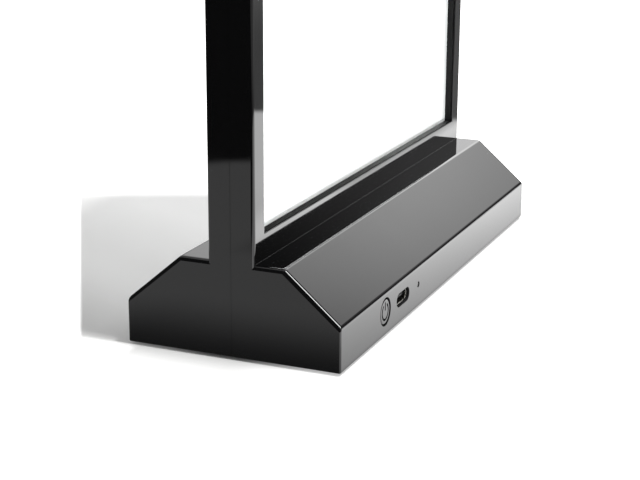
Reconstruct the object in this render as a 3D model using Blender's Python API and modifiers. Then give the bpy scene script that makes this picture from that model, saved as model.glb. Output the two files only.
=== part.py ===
"""Illuminated table stand: a light frame for two upright sheets on a chamfered base.

Metres, +Z up, +X along the stand's length. The controls are on the -Y side, and the
origin is on the table under the middle of the base. A piece that has a twin on the
other side of the mid-plane is placed by its distance from that plane.
"""

import math

import bmesh
import bpy
from mathutils import Matrix, Vector

# Sheet on show, an upright A5
SHEET_WIDTH = 0.148
SHEET_HEIGHT = 0.210
SHEET_THICKNESS = 0.0002
SHEET_COVERED = 0.0025  # edge of the sheet behind the border

# Clearances and cutting
FIT_GAP = 0.0003
SEAM_GAP = 0.0003
SLOT_CLEARANCE = 0.00015
CUT_OVERRUN = 0.002
WELD_DISTANCE = 0.000001
NEAR_DISTANCE = 0.00001  # closer than this counts as the same place

# Light frame
BORDER_WIDTH = 0.006
RAIL_HEIGHT = 0.0065  # from the top of the base up to the window
FRAME_THICKNESS = 0.0124
GUIDE_THICKNESS = 0.002
DIFFUSER_THICKNESS = 0.0004
WINDOW_THICKNESS = 0.0008
WINDOW_TOP_COVERED = 0.0012
NOTCH_RADIUS = 0.014
NOTCH_DEPTH = 0.0046

# Base
BASE_DEPTH = 0.0575
BASE_SIDE_HEIGHT = 0.0115
CHAMFER_RUN = 0.0148
WALL = 0.002
EDGE_RADIUS = 0.0012
CORNER_RADIUS = 0.0005
RIDGE_RADIUS = 0.0005
MOUTH_RADIUS = 0.0003
CEILING_RIB_THICKNESS = 0.0012
CEILING_RIB_RISE = 0.0012  # from the middle of the cell up to the ribs' free edge

# Pegs that line up the two housings
PEG_DIAMETER = 0.0016
PEG_LENGTH = 0.0012
PEG_ROOT = 0.001
PEG_HEIGHT_SHARES = (0.15, 0.5, 0.85)  # of the light frame's height

# Bottom cover and feet
COVER_THICKNESS = 0.0015
COVER_RECESS = 0.0003
COVER_CORNER_RADIUS = 0.0015
FOOT_DIAMETER = 0.010
FOOT_THICKNESS = 0.0013
FOOT_PROJECTION = 0.0006
FOOT_INSET = 0.010
FOOT_EDGE_RADIUS = 0.0004

# Cover screws
SCREW_INSET = 0.0075
SCREW_OFFSET = 0.0085
SCREW_HEAD_DIAMETER = 0.0042
SCREW_HEAD_HEIGHT = 0.0012
SCREW_SHANK_DIAMETER = 0.0022
SCREW_LENGTH = 0.0075
SCREW_HEAD_SUNK = 0.0003
SCREW_COLLAR_HEIGHT = 0.0018
SCREW_BOSS_WALL = 0.0014

# Rechargeable cell, its tabs and its cradle
CELL_DIAMETER = 0.0184
CELL_LENGTH = 0.065
CELL_END_ROOM = 0.013  # between the cell and the end wall
CELL_ROOM_BELOW = 0.0012
CELL_ROOM_ABOVE = 0.0008
CELL_EDGE_RADIUS = 0.0008
CELL_GROOVE_DEPTH = 0.0005
CELL_GROOVE_INSET = 0.003
CELL_GROOVE_WIDTH = 0.0012
CELL_BUTTON_DIAMETER = 0.0062
CELL_BUTTON_HEIGHT = 0.0014
TAB_THICKNESS = 0.0003
TAB_WIDTH = 0.005
TAB_HEIGHT = 0.009
CRADLE_END_INSET = 0.0105  # from the cell's ends in to the scooped ribs
CRADLE_SIDE_INSET = 0.0027
CRADLE_THICKNESS = 0.0016
CRADLE_LAND = 0.0008

# Controls on the front of the base
CONTROL_HEIGHT = 0.0064
BUTTON_INSET = 0.0299  # from the end face to the button's axis
BUTTON_TO_PORT = 0.0129
PORT_TO_LAMP = 0.0119

# Power button and the switch behind it
BUTTON_DIAMETER = 0.0069
BUTTON_SUNK = 0.0001
BUTTON_EDGE_RADIUS = 0.0003
BUTTON_REACH = 0.0011  # how far the cap reaches in past the wall
BUTTON_WING_REACH = 0.0009
BUTTON_WING_HEIGHT = 0.0032
BUTTON_WING_THICKNESS = 0.0008
BUTTON_STEM_DIAMETER = 0.003
BUTTON_STEM_LENGTH = 0.00175
BUTTON_TRAVEL = 0.0006
PLUNGER_DIAMETER = 0.0018
PLUNGER_PROUD = 0.0015
PLUNGER_SEATED = 0.0012
PLUNGER_EDGE_RADIUS = 0.0002
SWITCH_WIDTH = 0.006
SWITCH_DEPTH = 0.0035
SWITCH_HEIGHT = 0.0034

# Charging socket
PORT_WIDTH = 0.00894
PORT_HEIGHT = 0.00316
PORT_LENGTH = 0.0073
PORT_SHELL_WALL = 0.0003
PORT_BACK_WALL = 0.0006
PORT_SUNK = 0.00075
TONGUE_WIDTH = 0.0067
TONGUE_THICKNESS = 0.0007
TONGUE_LENGTH = 0.0044
TONGUE_BLOCK_LENGTH = 0.0013

# Indicator lamp and its light pipe
PIPE_DIAMETER = 0.001
PIPE_HOLE_DIAMETER = 0.0016
PIPE_SUNK = 0.0002
PIPE_FLANGE_DIAMETER = 0.003
PIPE_FLANGE_THICKNESS = 0.0008
LAMP_DIAMETER = 0.0028
LAMP_RIM_DIAMETER = 0.0031
LAMP_RIM_THICKNESS = 0.0006
LAMP_LENGTH = 0.0042
LAMP_LEG = 0.0005
LAMP_LEG_SPREAD = 0.00127
LAMP_LEG_REACH = 0.0012

# Circuit board and what is on it
BOARD_LENGTH = 0.048
BOARD_DEPTH = 0.0163
BOARD_THICKNESS = 0.0012
BOARD_WALL_GAP = 0.0006
BOARD_SCREW_INSET = 0.0035
BOARD_SCREW_HEAD_DIAMETER = 0.0034
BOARD_SCREW_HEAD_HEIGHT = 0.0011
BOARD_SCREW_SHANK_DIAMETER = 0.0016
BOARD_SCREW_LENGTH = 0.0045
BOARD_BOSS_WALL = 0.0011
CHIP_LENGTH = 0.005
CHIP_WIDTH = 0.004
CHIP_HEIGHT = 0.0016
CHIP_FROM_PORT = 0.0037
CHIP_FROM_BACK = 0.0046
CHIP_LEG_REACH = 0.001
CHIP_LEG_SIZE = 0.0004
CHIP_LEG_COUNT = 4
COIL_SIZE = 0.006
COIL_HEIGHT = 0.0032
COIL_PLATE = 0.0008
COIL_WAIST_DIAMETER = 0.0044
COIL_FROM_PORT = 0.0058
COIL_FROM_BACK = 0.0042

# Battery socket and plug
SOCKET_LENGTH = 0.0064
SOCKET_WIDTH = 0.0048
SOCKET_HEIGHT = 0.004
SOCKET_WALL = 0.0005
SOCKET_MOUTH_INSET = 0.0013
PLUG_LENGTH = 0.006
PLUG_PROUD = 0.0015

# Lamp strip, its carrier and the wire hole below it
STRIP_END_INSET = 0.004
STRIP_WIDTH = 0.0024
STRIP_THICKNESS = 0.0006
STRIP_LAMP_LENGTH = 0.003
STRIP_LAMP_WIDTH = 0.0014
STRIP_LAMP_HEIGHT = 0.0012
STRIP_LAMP_COUNT = 12
WIRE_HOLE_FROM_BOARD_END = 0.0093
WIRE_HOLE_FROM_CELL = 0.0175
WIRE_HOLE_LENGTH = 0.005
WIRE_HOLE_WIDTH = 0.0026

# Leads
LEAD_DIAMETER = 0.001
LEAD_PITCH = 0.0016
LEAD_STRAIGHT = 0.0015
LEAD_BEND = 0.005
LEAD_POINT_SPACING = 0.0024
NEAR_LEAD_SHARES = (0.5, 0.2)  # of the cell's side, on the way in to its near end
FAR_LEAD_SHARES = (0.75, 0.25)  # of the cell's side, on the way up to its far end
LAMP_LEAD_SHARE = 0.6  # of the board's distance, halfway up to the wire hole

# Screw heads, as shares of a head's radius and height, and of its diameter
HEAD_CROWN_SHARES = ((0.6, 1.0), (0.9, 0.7), (1.0, 0.3))
RECESS_ARM_SHARE = 0.6
RECESS_WIDTH_SHARE = 0.14
RECESS_DEPTH_SHARE = 0.6  # of the head's height

# Facets
EDGE_SEGMENTS = 4
CORNER_SEGMENTS = 2
ROUND_STEPS = 32
SMALL_ROUND_STEPS = 16
BAR_END_STEPS = 8
COVER_CORNER_STEPS = 4
BUTTON_EDGE_STEPS = 3
LAMP_DOME_STEPS = 5
SMOOTH_ANGLE = math.radians(35)
BEVEL_ANGLE = math.radians(40)
FLAT_ANGLE = math.radians(10)
DISSOLVE_ANGLE = math.radians(1)

# Levels above the table
HOUSING_BOTTOM = FOOT_PROJECTION
COVER_BOTTOM = HOUSING_BOTTOM + COVER_RECESS
COVER_TOP = COVER_BOTTOM + COVER_THICKNESS
CELL_Z = COVER_TOP + CELL_ROOM_BELOW + CELL_DIAMETER / 2
CEILING = CELL_Z + CELL_DIAMETER / 2 + CELL_ROOM_ABOVE
SIDE_TOP = HOUSING_BOTTOM + BASE_SIDE_HEIGHT
BASE_TOP = CEILING + WALL
WINDOW_BOTTOM = BASE_TOP + RAIL_HEIGHT
WINDOW_TOP = WINDOW_BOTTOM + SHEET_HEIGHT - 2 * SHEET_COVERED
FRAME_TOP = WINDOW_TOP + BORDER_WIDTH
SHEET_BOTTOM = WINDOW_BOTTOM - SHEET_COVERED
SHEET_TOP = SHEET_BOTTOM + SHEET_HEIGHT
POCKET_TOP = SHEET_TOP + FIT_GAP
CARRIER_BOTTOM = BASE_TOP + FIT_GAP
CARRIER_TOP = SHEET_BOTTOM - FIT_GAP
STRIP_BOTTOM = SHEET_BOTTOM - FIT_GAP - STRIP_LAMP_HEIGHT - STRIP_THICKNESS
STRIP_TOP = STRIP_BOTTOM + STRIP_THICKNESS
CARRIER_FLOOR_TOP = STRIP_BOTTOM - FIT_GAP
RIB_BOTTOM = CELL_Z + CEILING_RIB_RISE
CONTROL_Z = HOUSING_BOTTOM + CONTROL_HEIGHT
BOARD_BOTTOM = CONTROL_Z + PORT_HEIGHT / 2 + FIT_GAP
BOARD_TOP = BOARD_BOTTOM + BOARD_THICKNESS
UNDER_BOARD = BOARD_BOTTOM - FIT_GAP
SOCKET_Z = UNDER_BOARD - SOCKET_HEIGHT / 2

# Distances from the mid-plane
GUIDE_FACE = GUIDE_THICKNESS / 2
DIFFUSER_INNER = GUIDE_FACE + FIT_GAP
DIFFUSER_OUTER = DIFFUSER_INNER + DIFFUSER_THICKNESS
SHEET_INNER = DIFFUSER_OUTER + FIT_GAP
SHEET_OUTER = SHEET_INNER + SHEET_THICKNESS
WINDOW_INNER = SHEET_OUTER + FIT_GAP
WINDOW_OUTER = WINDOW_INNER + WINDOW_THICKNESS
POCKET_DEPTH = WINDOW_OUTER + FIT_GAP
FRAME_FACE = FRAME_THICKNESS / 2
SEAM_FACE = SEAM_GAP / 2
BASE_FACE = BASE_DEPTH / 2
WALL_INNER = BASE_FACE - WALL
RIDGE = BASE_FACE - CHAMFER_RUN
SLOPE_LEAN = CHAMFER_RUN / (BASE_TOP - SIDE_TOP)
SLOPE_INNER = BASE_FACE - WALL * math.hypot(1, SLOPE_LEAN)  # at the height of the slope's foot
BUTTON_FACE = BASE_FACE - BUTTON_SUNK
BUTTON_CAP_INNER = WALL_INNER - BUTTON_REACH
WING_OUTER = WALL_INNER - FIT_GAP
STEM_END = BUTTON_CAP_INNER - BUTTON_STEM_LENGTH
PLUNGER_TIP = STEM_END - FIT_GAP
SWITCH_FACE = PLUNGER_TIP - PLUNGER_PROUD
PLUNGER_END = SWITCH_FACE - PLUNGER_SEATED
SWITCH_BORE_END = PLUNGER_END - BUTTON_TRAVEL - FIT_GAP
BOARD_FRONT = min(WALL_INNER, SLOPE_INNER - (BOARD_TOP - SIDE_TOP) * SLOPE_LEAN) - BOARD_WALL_GAP
BOARD_BACK = BOARD_FRONT - BOARD_DEPTH
PIPE_FLANGE_OUTER = WALL_INNER - FIT_GAP
LAMP_TIP = PIPE_FLANGE_OUTER - PIPE_FLANGE_THICKNESS - FIT_GAP
LAMP_BACK = LAMP_TIP - LAMP_LENGTH
SOCKET_MOUTH = BOARD_BACK + SOCKET_MOUTH_INSET
PLUG_END = SOCKET_MOUTH - PLUG_PROUD
CRADLE_HALF_WIDTH = CELL_DIAMETER / 2 - CRADLE_SIDE_INSET

# Widths and places along X
BASE_LENGTH = SHEET_WIDTH - 2 * SHEET_COVERED + 2 * BORDER_WIDTH
END_FACE = BASE_LENGTH / 2
END_WALL_INNER = END_FACE - WALL
POCKET_HALF = SHEET_WIDTH / 2 + FIT_GAP
WINDOW_HALF = SHEET_WIDTH / 2 - SHEET_COVERED
STRIP_HALF = SHEET_WIDTH / 2 - STRIP_END_INSET
SCREW_X = END_FACE - SCREW_INSET
BUTTON_X = BUTTON_INSET - END_FACE
PORT_X = BUTTON_X + BUTTON_TO_PORT
LAMP_X = PORT_X + PORT_TO_LAMP
BOARD_LEFT = PORT_X - BOARD_LENGTH / 2
BOARD_RIGHT = PORT_X + BOARD_LENGTH / 2
CHIP_X = PORT_X + CHIP_FROM_PORT
COIL_X = PORT_X - COIL_FROM_PORT
SOCKET_X = BUTTON_X
CELL_RIGHT = END_WALL_INNER - CELL_END_ROOM
CELL_LEFT = CELL_RIGHT - CELL_LENGTH
CELL_X = (CELL_LEFT + CELL_RIGHT) / 2
CRADLE_SPREAD = CELL_LENGTH / 2 - CRADLE_END_INSET
WIRE_HOLE_X = min(BOARD_RIGHT - WIRE_HOLE_FROM_BOARD_END, CELL_LEFT - WIRE_HOLE_FROM_CELL)

# Cover screws and board screws
SCREW_HEAD_BOTTOM = COVER_BOTTOM + SCREW_HEAD_SUNK
SCREW_SEAT = SCREW_HEAD_BOTTOM + SCREW_HEAD_HEIGHT
SCREW_BOSS_BOTTOM = COVER_TOP + SCREW_COLLAR_HEIGHT + FIT_GAP
BOARD_SCREW_SEAT = BOARD_BOTTOM - FIT_GAP

LIE_ALONG_Y = (math.pi / 2, 0, 0)  # turns a shape's own +Z towards the front
STAND_ALONG_X = (math.pi / 2, 0, math.pi / 2)  # own X to +Y, own Y up, own Z to +X
HEAD_DOWN = (math.pi, 0, 0)
UPRIGHT = (0, 0, 0)
SIDES = (("front", -1), ("rear", 1))

# Colours
GLOSS_BLACK = (0.006, 0.006, 0.007)
SATIN_BLACK = (0.02, 0.02, 0.022)
WHITE = (0.85, 0.85, 0.84)
PAPER_WHITE = (0.9, 0.9, 0.88)
CLEAR = (0.95, 0.97, 0.98)
STEEL = (0.55, 0.55, 0.56)
NICKEL = (0.7, 0.68, 0.62)
BOARD_GREEN = (0.02, 0.12, 0.05)
CELL_BLUE = (0.03, 0.12, 0.35)
LEAD_RED = (0.5, 0.02, 0.02)


def clear_scene():
    """Removes what the scene holds at the start."""
    for obj in list(bpy.data.objects):
        bpy.data.objects.remove(obj, do_unlink=True)


def new_collection(name, hidden):
    """A collection under the scene's own, hidden from renders when it holds cutters."""
    collection = bpy.data.collections.new(name)
    collection.hide_render = hidden
    bpy.context.scene.collection.children.link(collection)
    return collection


def material(name, colour, roughness, metallic=0.0, alpha=1.0, glow=0.0):
    """A Principled material, made once for each name."""
    if name in bpy.data.materials:
        return bpy.data.materials[name]
    made = bpy.data.materials.new(name)
    made.use_nodes = True
    shader = made.node_tree.nodes["Principled BSDF"]
    shader.inputs["Base Color"].default_value = (*colour, 1)
    shader.inputs["Roughness"].default_value = roughness
    shader.inputs["Metallic"].default_value = metallic
    shader.inputs["Alpha"].default_value = alpha
    shader.inputs["Emission Color"].default_value = (*colour, 1)
    shader.inputs["Emission Strength"].default_value = glow
    made.diffuse_color = (*colour, alpha)
    return made


def mesh_object(name, mesh, collection, place=(0, 0, 0), turn=UPRIGHT):
    """An object in a collection, put at its place. A cutter shows as a wire frame."""
    obj = bpy.data.objects.new(name, mesh)
    obj.location = place
    obj.rotation_euler = turn
    collection.objects.link(obj)
    if collection is cutters:
        obj.hide_render = True
        obj.display_type = "WIRE"
    return obj


def finish_part(obj, finish, parent):
    """Gives a part its material and its parent, which may be an empty away from the origin."""
    obj.data.materials.clear()
    obj.data.materials.append(finish)
    obj.parent = parent
    obj.matrix_parent_inverse = Matrix.Translation(-parent.location)
    return obj


def empty(name, place, parent=None):
    """An empty that carries parts, with no parent offset."""
    obj = bpy.data.objects.new(name, None)
    obj.location = place
    obj.empty_display_size = FOOT_DIAMETER
    obj.parent = parent
    parts.objects.link(obj)
    return obj


def box(name, corner, opposite, collection, rounding=0, segments=CORNER_SEGMENTS):
    """A box between two corners in any order, its own origin in its middle."""
    low = Vector([min(pair) for pair in zip(corner, opposite)])
    high = Vector([max(pair) for pair in zip(corner, opposite)])
    shape = bmesh.new()
    bmesh.ops.create_cube(shape, size=1)
    bmesh.ops.scale(shape, vec=high - low, verts=shape.verts)
    mesh = bpy.data.meshes.new(name)
    shape.to_mesh(mesh)
    shape.free()
    obj = mesh_object(name, mesh, collection, (low + high) / 2)
    if rounding:
        round_edges(obj, rounding, segments)
    return obj


def boxes(name, centres, size, collection):
    """Equal boxes in one mesh, for cutting or joining in one go."""
    shape = bmesh.new()
    for centre in centres:
        place = Matrix.Translation(centre) @ Matrix.Diagonal((*size, 1))
        bmesh.ops.create_cube(shape, size=1, matrix=place)
    mesh = bpy.data.meshes.new(name)
    shape.to_mesh(mesh)
    shape.free()
    return mesh_object(name, mesh, collection)


def rod(name, diameter, start, end, collection, steps=ROUND_STEPS):
    """A cylinder from one point to another."""
    start = Vector(start)
    end = Vector(end)
    shape = bmesh.new()
    bmesh.ops.create_cone(
        shape,
        cap_ends=True,
        segments=steps,
        radius1=diameter / 2,
        radius2=diameter / 2,
        depth=(end - start).length,
    )
    mesh = bpy.data.meshes.new(name)
    shape.to_mesh(mesh)
    shape.free()
    smooth(mesh)
    turn = (end - start).to_track_quat("Z", "Y").to_euler()
    return mesh_object(name, mesh, collection, (start + end) / 2, turn)


def smooth(mesh):
    """Shades round faces smooth and keeps the real edges sharp."""
    mesh.shade_smooth()
    mesh.set_sharp_from_angle(angle=SMOOTH_ANGLE)


def turned(name, profile, collection, place, turn, steps=ROUND_STEPS):
    """A turned piece: a profile of (radius, height) points, top to bottom, spun round its own Z."""
    mesh = bpy.data.meshes.new(name)
    corners = [(radius, 0, height) for radius, height in profile]
    mesh.from_pydata(corners, [(i, i + 1) for i in range(len(corners) - 1)], [])
    obj = mesh_object(name, mesh, collection, place, turn)
    spin = obj.modifiers.new("spin", "SCREW")
    spin.steps = steps
    spin.render_steps = steps
    spin.use_merge_vertices = True
    spin.merge_threshold = WELD_DISTANCE
    spin.use_smooth_shade = False
    return obj


def outline_solid(name, outline, thickness, collection, place=(0, 0, 0), turn=UPRIGHT):
    """A closed flat outline thickened evenly to both sides of its own plane."""
    curve = bpy.data.curves.new(name, "CURVE")
    curve.dimensions = "2D"
    curve.fill_mode = "BOTH"
    curve.extrude = thickness / 2
    spline = curve.splines.new("POLY")
    spline.points.add(len(outline) - 1)
    for point, (x, y) in zip(spline.points, outline):
        point.co = (x, y, 0, 1)
    spline.use_cyclic_u = True
    source = mesh_object(name + "_outline", curve, cutters)
    graph = bpy.context.evaluated_depsgraph_get()
    mesh = bpy.data.meshes.new_from_object(source.evaluated_get(graph))
    bpy.data.objects.remove(source, do_unlink=True)
    mesh.name = name
    shape = bmesh.new()
    shape.from_mesh(mesh)
    bmesh.ops.remove_doubles(shape, verts=shape.verts, dist=WELD_DISTANCE)
    bmesh.ops.dissolve_limit(
        shape, angle_limit=DISSOLVE_ANGLE, verts=shape.verts, edges=shape.edges
    )
    bmesh.ops.recalc_face_normals(shape, faces=shape.faces)
    shape.to_mesh(mesh)
    shape.free()
    smooth(mesh)
    return mesh_object(name, mesh, collection, place, turn)


def round_edges(obj, radius, segments, weighted=False):
    """Rounds an object's edges: the sharp ones, or those that carry a weight."""
    bevel = obj.modifiers.new("round", "BEVEL")
    bevel.width = radius
    bevel.segments = segments
    bevel.limit_method = "WEIGHT" if weighted else "ANGLE"
    bevel.angle_limit = BEVEL_ANGLE
    bevel.harden_normals = False
    return bevel


def join_or_cut(obj, tool, operation):
    """An exact Boolean with another object, which may have modifiers of its own."""
    modifier = obj.modifiers.new(operation.lower() + "_" + tool.name, "BOOLEAN")
    modifier.operation = operation
    modifier.solver = "EXACT"
    modifier.object = tool
    return obj


def cut(obj, *tools):
    """Takes each tool's shape out of the object."""
    for tool in tools:
        join_or_cut(obj, tool, "DIFFERENCE")
    return obj


def join(obj, *tools):
    """Adds each tool's shape to the object."""
    for tool in tools:
        join_or_cut(obj, tool, "UNION")
    return obj


def arc(centre, radius, start, end, steps):
    """Points along an arc, in degrees, both ends included."""
    points = []
    for step in range(steps + 1):
        angle = math.radians(start + (end - start) * step / steps)
        points.append(
            (centre[0] + radius * math.cos(angle), centre[1] + radius * math.sin(angle))
        )
    return points


def bar_outline(width, height):
    """A bar with full round ends."""
    reach = (width - height) / 2
    return arc((reach, 0), height / 2, -90, 90, BAR_END_STEPS) + arc(
        (-reach, 0), height / 2, 90, 270, BAR_END_STEPS
    )


def rounded_rectangle(width, depth, radius, steps):
    """A rectangle with round corners, about its own middle."""
    x = width / 2 - radius
    y = depth / 2 - radius
    corners = ((x, y, 0), (-x, y, 90), (-x, -y, 180), (x, -y, 270))
    points = []
    for centre_x, centre_y, start in corners:
        points += arc((centre_x, centre_y), radius, start, start + 90, steps)
    return points


def half_outline(side):
    """Outer outline of one half, as (y, z): half the base with half the light frame on it."""
    distances = [
        (SEAM_FACE, HOUSING_BOTTOM),
        (BASE_FACE, HOUSING_BOTTOM),
        (BASE_FACE, SIDE_TOP),
        (RIDGE, BASE_TOP),
        (FRAME_FACE, BASE_TOP),
        (FRAME_FACE, FRAME_TOP),
        (SEAM_FACE, FRAME_TOP),
    ]
    return [(side * distance, height) for distance, height in distances]


def core_outline(side):
    """Outline of the hollow in one half of the base, open below and at the seam."""
    side_height = SIDE_TOP + (SLOPE_INNER - WALL_INNER) / SLOPE_LEAN
    ceiling_distance = SLOPE_INNER - (CEILING - SIDE_TOP) * SLOPE_LEAN
    distances = [
        (-CUT_OVERRUN, HOUSING_BOTTOM - CUT_OVERRUN),
        (WALL_INNER, HOUSING_BOTTOM - CUT_OVERRUN),
        (WALL_INNER, side_height),
        (ceiling_distance, CEILING),
        (-CUT_OVERRUN, CEILING),
    ]
    return [(side * distance, height) for distance, height in distances]


def edge_share(edge, side):
    """How far an edge of the plain half is rounded, as a share of the housing's edge radius."""
    first, second = [vert.co for vert in edge.verts]
    middle = (first + second) / 2
    distance = side * middle.y
    near = NEAR_DISTANCE
    on_end = abs(abs(middle.x) - END_FACE) < near
    upright = abs(first.z - second.z) > near and abs(first.y - second.y) < near
    if distance < SEAM_FACE + near or edge.calc_face_angle(0) < FLAT_ANGLE:
        return 0
    if abs(middle.z - BASE_TOP) < near and abs(distance - FRAME_FACE) < near:
        return 0
    if abs(middle.z - BASE_TOP) < near and abs(distance - RIDGE) < near:
        return RIDGE_RADIUS / EDGE_RADIUS
    if abs(middle.x) < END_FACE - near and WINDOW_BOTTOM - near < middle.z < WINDOW_TOP + near:
        on_face = abs(distance - FRAME_FACE) < near
        return MOUTH_RADIUS / EDGE_RADIUS if on_face else 0
    on_base_side = on_end and upright and abs(distance - BASE_FACE) < near
    if on_base_side or middle.z < HOUSING_BOTTOM + near:
        return CORNER_RADIUS / EDGE_RADIUS
    return 1


def plain_half(name, side):
    """One half with its window opening cut and its outer edges rounded, still solid."""
    body = outline_solid(name, half_outline(side), BASE_LENGTH, parts, turn=STAND_ALONG_X)
    window = box(
        name + "_window",
        (-WINDOW_HALF, -side * CUT_OVERRUN, WINDOW_BOTTOM),
        (WINDOW_HALF, side * (FRAME_FACE + CUT_OVERRUN), WINDOW_TOP),
        cutters,
    )
    cut(body, window)
    bpy.context.view_layer.update()
    graph = bpy.context.evaluated_depsgraph_get()
    mesh = bpy.data.meshes.new_from_object(body.evaluated_get(graph))
    mesh.transform(body.matrix_world)
    body.modifiers.clear()
    bpy.data.objects.remove(window, do_unlink=True)
    body.rotation_euler = UPRIGHT
    shape = bmesh.new()
    shape.from_mesh(mesh)
    bmesh.ops.remove_doubles(shape, verts=shape.verts, dist=WELD_DISTANCE)
    bmesh.ops.dissolve_limit(
        shape, angle_limit=DISSOLVE_ANGLE, verts=shape.verts, edges=shape.edges
    )
    weights = shape.edges.layers.float.new("bevel_weight_edge")
    for edge in shape.edges:
        edge[weights] = edge_share(edge, side)
    shape.to_mesh(mesh)
    shape.free()
    smooth(mesh)
    body.data = mesh
    round_edges(body, EDGE_RADIUS, EDGE_SEGMENTS, weighted=True)
    return body


def boss_places(side):
    """Where screw bosses hang in one half: (x, y, lowest point, diameter)."""
    diameter = SCREW_SHANK_DIAMETER + 2 * (FIT_GAP + SCREW_BOSS_WALL)
    places = [
        (end * SCREW_X, side * SCREW_OFFSET, SCREW_BOSS_BOTTOM, diameter) for end in (-1, 1)
    ]
    if side < 0:
        diameter = BOARD_SCREW_SHANK_DIAMETER + 2 * (FIT_GAP + BOARD_BOSS_WALL)
        places += [(x, y, BOARD_TOP + FIT_GAP, diameter) for x, y in board_screw_places()]
    return places


def board_screw_places():
    """The four corners of the board, each by the same inset."""
    return [
        (x, y)
        for x in (BOARD_LEFT + BOARD_SCREW_INSET, BOARD_RIGHT - BOARD_SCREW_INSET)
        for y in (-BOARD_FRONT + BOARD_SCREW_INSET, -BOARD_BACK - BOARD_SCREW_INSET)
    ]


def cell_room(name):
    """The round space that the cradle and the ceiling ribs leave for the cell."""
    reach = CELL_LENGTH / 2 + FIT_GAP
    return rod(
        name,
        CELL_DIAMETER + 2 * FIT_GAP,
        (CELL_X - reach, 0, CELL_Z),
        (CELL_X + reach, 0, CELL_Z),
        cutters,
        ROUND_STEPS * 2,
    )


def housing_core(name, side):
    """The hollow of one half, less the bosses and ribs that stay in it."""
    core = outline_solid(
        name + "_core", core_outline(side), 2 * END_WALL_INNER, cutters, turn=STAND_ALONG_X
    )
    ceiling_over = CEILING + CUT_OVERRUN
    for number, (x, y, low, diameter) in enumerate(boss_places(side)):
        boss = rod(f"{name}_boss_{number}", diameter, (x, y, low), (x, y, ceiling_over), cutters)
        cut(core, boss)
    rib_places = [CELL_X - CRADLE_SPREAD, CELL_X, CELL_X + CRADLE_SPREAD, PORT_X]
    for number, x in enumerate(rib_places):
        rib = box(
            f"{name}_rib_{number}",
            (x - CEILING_RIB_THICKNESS / 2, side * SEAM_FACE, RIB_BOTTOM),
            (x + CEILING_RIB_THICKNESS / 2, side * BASE_FACE, ceiling_over),
            cutters,
        )
        if x > CELL_LEFT:
            cut(rib, cell_room(f"{name}_rib_{number}_room"))
        cut(core, rib)
    return core


def light_pocket(name, side):
    """Room behind the border for the light panel, open at the seam."""
    return box(
        name + "_pocket",
        (-POCKET_HALF, -side * CUT_OVERRUN, BASE_TOP),
        (POCKET_HALF, side * POCKET_DEPTH, POCKET_TOP),
        cutters,
    )


def sheet_slot(name, side):
    """The slot through the top rail that the sheet slides through."""
    return box(
        name + "_slot",
        (-POCKET_HALF, side * (SHEET_INNER - SLOT_CLEARANCE), POCKET_TOP - CUT_OVERRUN),
        (POCKET_HALF, side * (SHEET_OUTER + SLOT_CLEARANCE), FRAME_TOP + CUT_OVERRUN),
        cutters,
    )


def finger_notch(name, side):
    """The round notch in the top rail that bares the sheet's top edge."""
    middle = FRAME_TOP + NOTCH_RADIUS - NOTCH_DEPTH
    return rod(
        name + "_notch",
        2 * NOTCH_RADIUS,
        (0, side * (SHEET_INNER + SHEET_THICKNESS / 2), middle),
        (0, side * (FRAME_FACE + CUT_OVERRUN), middle),
        cutters,
        ROUND_STEPS * 2,
    )


def wire_hole(name, low, high):
    """The hole on the mid-plane that the lamp leads go up through."""
    return box(
        name + "_wire_hole",
        (WIRE_HOLE_X - WIRE_HOLE_LENGTH / 2, -WIRE_HOLE_WIDTH / 2, low),
        (WIRE_HOLE_X + WIRE_HOLE_LENGTH / 2, WIRE_HOLE_WIDTH / 2, high),
        cutters,
    )


def pilot_holes(name, side):
    """Screw holes up into the bosses of one half."""
    holes = []
    for number, (x, y, low, _) in enumerate(boss_places(side)):
        is_cover_screw = number < 2
        diameter = SCREW_SHANK_DIAMETER if is_cover_screw else BOARD_SCREW_SHANK_DIAMETER
        length = SCREW_LENGTH if is_cover_screw else BOARD_SCREW_LENGTH
        seat = SCREW_SEAT if is_cover_screw else BOARD_SCREW_SEAT
        holes.append(
            rod(
                f"{name}_pilot_{number}",
                diameter + 2 * FIT_GAP,
                (x, y, low - CUT_OVERRUN),
                (x, y, seat + length + FIT_GAP),
                cutters,
                SMALL_ROUND_STEPS,
            )
        )
    return holes


def peg_places():
    """Pegs in the two posts, at the same heights in each."""
    x = (END_FACE + POCKET_HALF) / 2
    heights = [BASE_TOP + share * (FRAME_TOP - BASE_TOP) for share in PEG_HEIGHT_SHARES]
    return [(end * x, height) for end in (-1, 1) for height in heights]


def control_openings():
    """The holes for the button, the charging socket and the light pipe in the front wall."""
    outside = -(BASE_FACE + CUT_OVERRUN)
    inside = -(WALL_INNER - CUT_OVERRUN / 2)
    button = rod(
        "button_hole",
        BUTTON_DIAMETER + 2 * FIT_GAP,
        (BUTTON_X, outside, CONTROL_Z),
        (BUTTON_X, inside, CONTROL_Z),
        cutters,
    )
    port = outline_solid(
        "port_hole",
        bar_outline(PORT_WIDTH + 2 * FIT_GAP, PORT_HEIGHT + 2 * FIT_GAP),
        inside - outside,
        cutters,
        (PORT_X, (inside + outside) / 2, CONTROL_Z),
        LIE_ALONG_Y,
    )
    lamp = rod(
        "light_pipe_hole",
        PIPE_HOLE_DIAMETER,
        (LAMP_X, outside, CONTROL_Z),
        (LAMP_X, inside, CONTROL_Z),
        cutters,
        SMALL_ROUND_STEPS,
    )
    return [button, port, lamp]


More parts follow.
